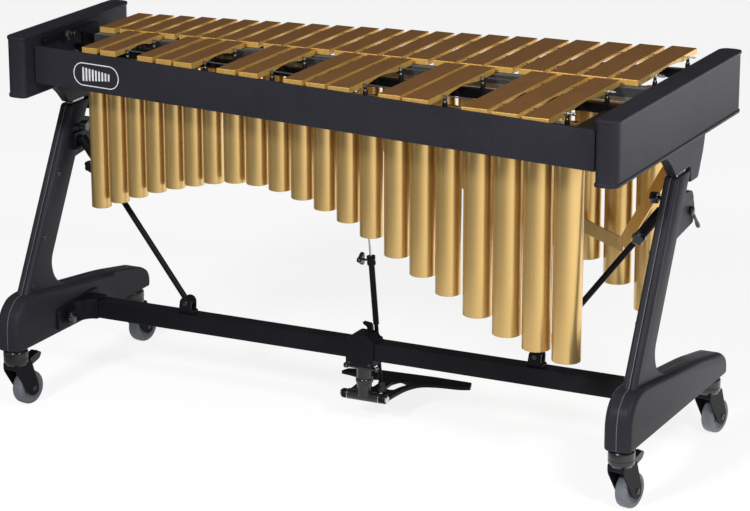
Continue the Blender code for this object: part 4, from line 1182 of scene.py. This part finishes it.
def pedal_plate():
    """The slim crescent of the pedal with its two windows and two hinge hubs."""
    x, y, z = PEDAL_AXIS
    right = mm(
        (30, 26, 4), (38.6, 20, 4), (38.6, 4, 2), (51.5, 4, 2),
        (52, 38, 14), (56, 86, 16), (72, 126, 20), (110, 139, 12),
        (160, 146, 12), (180, 156, 3), (170, 186, 4), (80, 186, 10),
    )
    left = mm(
        (-60, 176, 10), (-118, 156, 4), (-125, 133, 4), (-98, 129, 12),
        (-72, 120, 16), (-56, 86, 16), (-52, 38, 14), (-51.5, 4, 2),
        (-38.6, 4, 2), (-38.6, 20, 4), (-30, 26, 4),
    )
    plate = prism(rounded([(x + a, b, r) for a, b, r in right + left], 6), "Z", PEDAL_LOW,
                  PEDAL_HIGH)
    for side in (-1, 1):
        corners = ((0.013, 0.066), (0.036, 0.066), (0.041, 0.092), (0.052, 0.119), (0.022, 0.134),
                   (0.012, 0.112))
        window = rounded([(x + side * a, b, 0.006) for a, b in corners])
        plate = boolean(plate, prism(window, "Z", PEDAL_LOW - 0.01, PEDAL_HIGH + 0.01),
                        "DIFFERENCE")
    coated("pedal_plate", plate, "pedal", "pedal", bevel=0.0016, segments=3, angle=50)
    hubs = bmesh.new()
    for side in (-1, 1):
        lathe(mm((5.3, 0), (9.8, 0), (10.5, 1), (10.5, 12.8), (9.8, 13.8), (5.3, 13.8),
                     (5.3, 0)), 36, at((x + side * 0.0384, y, z), (side, 0, 0)), bm=hubs)
    coated("pedal_hubs", hubs, "pedal", "pedal")


def pedal_bracket():
    """The clamp round the beam, the neck below it, the hinge barrel and the lift rod's guide."""
    x, y, z = PEDAL_AXIS
    half = 0.033
    side_view = rounded([
        (-half, 0.133, 0.008), (half, 0.133, 0.008), (half, 0.193, 0.004), (0.027, 0.1935, 0.003),
        (0.02, 0.2045, 0.01), (-0.02, 0.2045, 0.01), (-0.027, 0.1935, 0.003), (-half, 0.193, 0.004),
    ], 8)
    clamp = prism([(x + a, b) for a, b in side_view], "Y", -0.0245, 0.0245)
    clamp = boolean(clamp, box((x - 0.05, -0.0202, 0.1498), (x + 0.05, 0.0202, 0.1892)),
                    "DIFFERENCE")
    coated("pedal_clamp", clamp, "stand", "pedal_bracket", bevel=0.0014, segments=3, angle=55)
    neck = mm((0, 134), (16.5, 134), (16.5, 103), (18, 102), (19, 100), (19, 94),
            (18, 92), (16, 91), (16, 62), (0, 62))
    bm = lathe(neck, 40, Matrix.Translation((x, 0, 0)))
    barrel = mm((5.4, -38), (9.8, -38), (11, -37), (11, 37), (9.8, 38), (5.4, 38),
              (5.4, -38))
    lathe(barrel, 36, at((x, y, z), (1, 0, 0)), bm=bm)
    plastic("pedal_neck", bm, "stand", "pedal_bracket")
    guide = rod_point(0.172)
    arm = rounded([(guide.x - 0.012, 0.022, 0), (guide.x + 0.012, 0.022, 0),
                   (guide.x + 0.012, 0.055, 0.01),
                   (guide.x - 0.012, 0.055, 0.01)])
    arm = prism(arm, "Z", 0.166, 0.178)
    arm = boolean(arm, rod(rod_point(0.15), rod_point(0.195), 0.0058), "DIFFERENCE")
    stop = rounded([(x - 0.004, 0.178, 0), (x + 0.01, 0.178, 0.002), (x + 0.008, 0.212, 0.004),
                    (x + 0.004, 0.219, 0.002),
                    (x - 0.014, 0.221, 0.002), (x - 0.014, 0.216, 0.002), (x - 0.004, 0.21, 0.003)])
    arm = join(arm, prism(stop, "Y", 0.0205, 0.03))
    coated("pedal_guide", arm, "stand", "pedal_bracket", bevel=0.0008, angle=50)
    bolts = bmesh.new()
    for a in (-0.024, 0.024):
        for side in (-1, 1):
            bolt(at((x + a, side * 0.0243, 0.141), (0, side, 0)), 0.0042, 0.0026, bm=bolts)
    for side, reach in ((-1, 0.01), (1, 0.006)):
        lobed(at((x + side * 0.0325, -0.012, 0.129), (side, 0, 0)), 0.0062, 6, 0.12, reach, 48,
              bm=bolts)
    rod((x - 0.034, -0.012, 0.129), (x + 0.034, -0.012, 0.129), 0.0042, bm=bolts)
    piece("pedal_clamp_bolts", bolts, "stand", "plated_steel", look="black_plastic")
    pin = mm((0, -56.5), (6.6, -56.5), (8, -55.5), (8, -52.7), (5, -52.5), (5, 52.5),
           (8, 52.7), (8, 55.5), (6.6, 56.5), (0, 56.5))
    shaft = lathe(pin, 32, at((x, y, z), (1, 0, 0)))
    piece("pedal_pin", shaft, "stand", "plated_steel", "pedal_shaft")
    ring = mm((11.2, -38.3), (12.5, -38.1), (12.5, -37.2), (11.2, -37), (11.2, -38.3))
    washers = bmesh.new()
    for side in (-1, 1):
        lathe(ring, 36, at((x, y, z), (side, 0, 0)), bm=washers)
    piece("pedal_washers", washers, "stand", "plated_steel")


def lift_rods():
    low = rod_point(PEDAL_HIGH + 0.0005)
    profile = mm((0, 0), (6, 0), (9.8, 1.2), (10.5, 3.5))
    for k in range(5):
        z = 0.005 + 0.0034 * k
        r = 0.0103 - 0.0006 * k
        profile += [(r, z), (r - 0.0012, z + 0.0011), (r - 0.0012, z + 0.0017), (r, z + 0.0026)]
    profile += [(0.0062, 0.023), (0, 0.0235)]
    boot = lathe(profile, 36, Matrix.Translation(low))
    piece("pedal_boot_visible", boot, "pedal_link", "black_rubber", "pedal_boot")
    start = rod_point(low.z + 0.0235 + 0.0009)
    lower = rod(start, rod_point(0.21), 0.0045, 28)
    coated("pedal_lift_rod", lower, "pedal_link", "pedal_rod", bevel=0.0006)
    foot = rod_point(0.211)
    direction = (ROD_HEAD - ROD_FOOT).normalized()
    place = at(foot, direction)
    reach = (rod_point(0.364) - foot).length
    profile = [
        (0.0048, 0.007), (0.0048, reach), (0.0088, reach), (0.0095, reach - 0.0012),
        (0.0095, reach - 0.0075),
        (0.0086, reach - 0.0082), (0.0086, reach - 0.0125), (0.0095, reach - 0.0132),
        (0.0095, reach - 0.0198),
        (0.0088, reach - 0.0208), (0.0066, reach - 0.0212), (0.0065, 0.0008), (0.0058, 0), (0, 0),
        (0, 0.007),
        (0.0048, 0.007),
    ]
    coated("damper_tube_visible", lathe(profile, 36, place), "damper_extension", "damper_tube")
    seat = rod_point(0.353) + Vector((-0.0098, 0, 0))
    screw = rod(seat, seat - Vector((0.012, 0, 0)), 0.0026, 20)
    lobed(at(seat - Vector((0.01, 0, 0)), (-1, 0, 0)), 0.0155, 3, 0.45, 0.009, 60, bm=screw)
    plastic("damper_wing_knob", screw, "wing_screw", "damper_wing_screw")
    thin = rod(rod_point(0.24), rod_point(ROD_HEAD.z - GAP), 0.003, 24)
    piece("damper_thin_rod", thin, "damper_link", "plated_steel", "damper_rod", bevel=0.0005)


# Heads, levers, knobs and brackets


def leg_head(name, side):
    """The aluminium slider in a leg and the coated gusset that carries the end block."""
    seam, high = side * LEG_X, BLOCK_BOTTOM - GAP
    node = f"inner_post_{name}"
    slider = [(post_y(0.415, 0.2), 0.415), (post_y(0.415, 0.8), 0.415)]
    slider += [(post_y(0.655, 0.8), 0.655), (post_y(0.655, 0.2), 0.655)]
    bm = prism(slider, "X", seam - 0.0075, seam + 0.0075)
    piece(f"leg_slider_{name}", bm, "upper_frame", "aluminium_post", node, bevel=0.001)
    gusset = rounded([
        (-0.09, high, 0), (0.155, high, 0), (0.147, 0.66, 0.02), (0.118, 0.604, 0.006),
        (0.074, 0.604, 0.004),
        (0.072, 0.638, 0.004), (-0.012, 0.638, 0.004), (-0.034, 0.662, 0.012),
        (-0.06, 0.682, 0.012),
    ])
    bm = prism(gusset, "X", seam - 0.0105, seam + 0.0105)
    piece(f"leg_gusset_{name}", bm, "upper_frame", "charcoal_coat", node, bevel=0.0022, segments=4)


def height_lever(name, side):
    """The clamp lever behind a post: its hub on the lug, its arm and the swelling grip."""
    y, z = 0.074, 0.545
    hub = mm((0, 0), (8.5, 0), (9, 0.8), (9, 6), (8.2, 7.2), (6, 8.4), (0, 9.6))
    face = side * (LEG_X + LUG_HALF + GAP)
    bm = lathe(hub, 32, at((face, y, z), (side, 0, 0)))
    along = Vector((0, 0.036, -0.0414))
    reach = along.length
    arm = [
        (radius, share * reach)
        for radius, share in (
            (0, 0), (0.0034, 0), (0.003, 0.3), (0.0034, 0.62), (0.0046, 0.8),
            (0.0052, 0.92), (0.0046, 1.02), (0.0026, 1.07), (0, 1.085),
        )
    ]
    lathe(arm, 24, at((side * (LEG_X + LUG_HALF + 0.005), y, z), along), bm=bm)
    part = f"height_lever_{name}"
    piece(f"{part}_handle", bm, part, "plated_steel", part, look="black_plastic")


def lock_knob(name, side):
    x, z = side * (LEG_X - POST_HALF - GAP), 0.585
    y = post_y(z, 0.5)
    bm = rod((x, y, z), (x - side * 0.018, y, z), 0.0038)
    lobed(at((x - side * 0.014, y, z), (-side, 0, 0)), 0.0128, 5, 0.2, 0.0175, bm=bm)
    plastic(f"lock_knob_{name}_grip", bm, f"lock_knob_{name}", f"lock_knob_{name}")


CLEVIS, BRACE_TOP, SLEEVE_FROM = Vector((0.42, 0.004, 0.211)), Vector((0.686, 0.01, 0.556)), 0.8


def brace(name, side):
    """A diagonal brace: its clevis on the beam, the rod, the sleeve on the post and the knob."""
    foot, head = (Vector((side * v.x, v.y, v.z)) for v in (CLEVIS, BRACE_TOP))

    def up(share):
        return foot.lerp(head, share)

    base = BEAM_HIGH + GAP
    ear = rounded([(foot.x - 0.018, base, 0), (foot.x + 0.018, base, 0),
                   (foot.x + 0.0165, base + 0.006, 0.003)])
    ear += arc((foot.x, foot.z), 0.0142, 0, 180,
               20) + rounded([(foot.x - 0.0165, base + 0.006, 0.003)])
    clevis = prism(ear, "Y", foot.y - 0.0135, foot.y + 0.0135)
    slot = box((foot.x - 0.03, foot.y - 0.0072, 0.1965), (foot.x + 0.03, foot.y + 0.0072, 0.24))
    clevis = boolean(clevis, slot, "DIFFERENCE")
    coated(f"brace_{name}_clevis", clevis, "stand", f"brace_clevis_{name}", bevel=0.0012)
    bolts = bmesh.new()
    for face in (-1, 1):
        bolt(at(foot + Vector((0, face * 0.0134, 0)), (0, face, 0)), 0.0062, 0.003, bm=bolts)
    plastic(f"brace_{name}_bolt", bolts, "stand")
    eye = rod(foot - Vector((0, 0.0066, 0)), foot + Vector((0, 0.0066, 0)), 0.0115, 36)
    rod(up(0.012), up(0.93), 0.0065, 28, bm=eye)
    coated(f"brace_{name}_rod", eye, "stand", f"brace_rod_{name}", bevel=0.0006)
    along = (head - foot).normalized()
    reach = (head - up(SLEEVE_FROM)).length
    barrel = [(0.0068, 0), (0.0108, 0), (0.0115, 0.001), (0.0115, reach - 0.001), (0.0105, reach),
              (0, reach)]
    sleeve = lathe(barrel, 36, at(up(SLEEVE_FROM), along))
    y = head.y - 0.008
    face = side * (LEG_X - POST_HALF - GAP)
    flange = rounded_box(y - 0.02, head.z - 0.024, y + 0.02, head.z + 0.014, 0.006)
    sleeve = join(sleeve, prism(flange, "X", face - side * 0.01, face))
    coated(f"brace_{name}_sleeve", sleeve, "stand", f"brace_sleeve_{name}", bevel=0.0008)
    forward = Vector((0, -1, -0.25))
    out = (forward - forward.project(head - foot)).normalized()
    seat = up(SLEEVE_FROM + 0.045) + out * (0.0115 + GAP)
    knob = rod(seat, seat + out * 0.01, 0.0042)
    lobed(at(seat + out * 0.008, out), 0.0145, 5, 0.2, 0.016, bm=knob)
    plastic(f"brace_{name}_grip", knob, f"brace_knob_{name}", f"brace_knob_{name}")


def beam_bracket(name, side):
    """The plate on the foot's inner face, the curved arm to the beam's end and the star knob."""
    face = side * (LEG_X - FOOT_HALF - GAP)
    outline = rounded(mm((-125, 145, 6), (45, 145, 6), (45, 200, 8), (0, 200.5, 10),
                       (-100, 195, 10), (-125, 190, 8)))
    bm = prism(outline, "X", face - side * 0.006, face)
    node = f"beam_bracket_{name}"
    coated(f"beam_bracket_{name}_plate", bm, "stand", node, bevel=0.0016, segments=3)
    reach = LEG_X - FOOT_HALF - GAP - 0.003
    web = rounded([(0.64, -0.024, 0.004), (0.64, 0.024, 0.004), (reach, 0.024, 0),
                   (reach, -0.06, 0),
                   (0.668, -0.052, 0.012), (0.66, -0.034, 0.014), (0.65, -0.025, 0.008)], 8)
    bm = prism([(side * x, y) for x, y in web], "Z", 0.1475, 0.1935)
    coated(f"beam_bracket_{name}_arm", bm, "stand", node, bevel=0.004, segments=4, angle=50)
    stub = face - side * 0.006
    knob = rod((stub, -0.085, 0.166), (stub - side * 0.01, -0.085, 0.166), 0.005)
    lobed(at((stub - side * 0.004, -0.085, 0.166), (-side, 0, 0)), 0.015, 6, 0.22, 0.012, bm=knob)
    plastic(f"beam_bracket_{name}_knob", knob, "stand")


def block_fittings():
    """The dark bar, clamp and plate that carry the motor side inside the high block."""
    face = -INNER_FACE
    outline = rounded_box(-0.15, 0.7985, 0.02, 0.8095, 0.004)
    coated("high_block_bar", prism(outline, "X", face, face + 0.012), "upper_frame", bevel=0.0012)
    clamp = bmesh.new()
    lobed(at((face + 0.011, -0.07, 0.804), (1, 0, 0)), 0.0115, 12, 0.1, 0.011, 72, bm=clamp)
    lobed(at((face + 0.011, -0.043, 0.802), (1, 0, 0)), 0.007, 8, 0.1, 0.0085, 64, bm=clamp)
    plastic("high_block_clamp", clamp, "upper_frame")
    plate = rounded(mm((10, 770, 3), (75, 770, 3), (75, 806, 6), (10, 812, 6)))
    coated("high_block_plate", prism(plate, "X", face, face + 0.004), "upper_frame", bevel=0.001)


# The CAD nodes that stay get the finish of their slot


def dress_kept_nodes():
    slots = {entry["node"]: entry["material_slot"] for entry in frame["record"]["subparts"]}
    for name, node in NODES.items():
        node.data.materials.clear()
        node.data.materials.append(LOOKS[slots[name]])


build_camera()
build_world()
build_floor()
for entry in SOFTBOXES:
    softbox(*entry)
build_bars()
build_resonators()
build_upper_frame()
build_legs()
build_beam()
for end_name, end_side in (("high", -1), ("low", 1)):
    for row_name, row_y in (("front", -CASTER_Y), ("rear", CASTER_Y)):
        caster(f"{row_name}_{end_name}", end_side * LEG_X, row_y)
for end_name, end_side in (("high", -1), ("low", 1)):
    leg_head(end_name, end_side)
    height_lever(end_name, end_side)
    lock_knob(end_name, end_side)
    brace(end_name, end_side)
    beam_bracket(end_name, end_side)
block_fittings()
pedal_plate()
pedal_bracket()
lift_rods()
dress_kept_nodes()
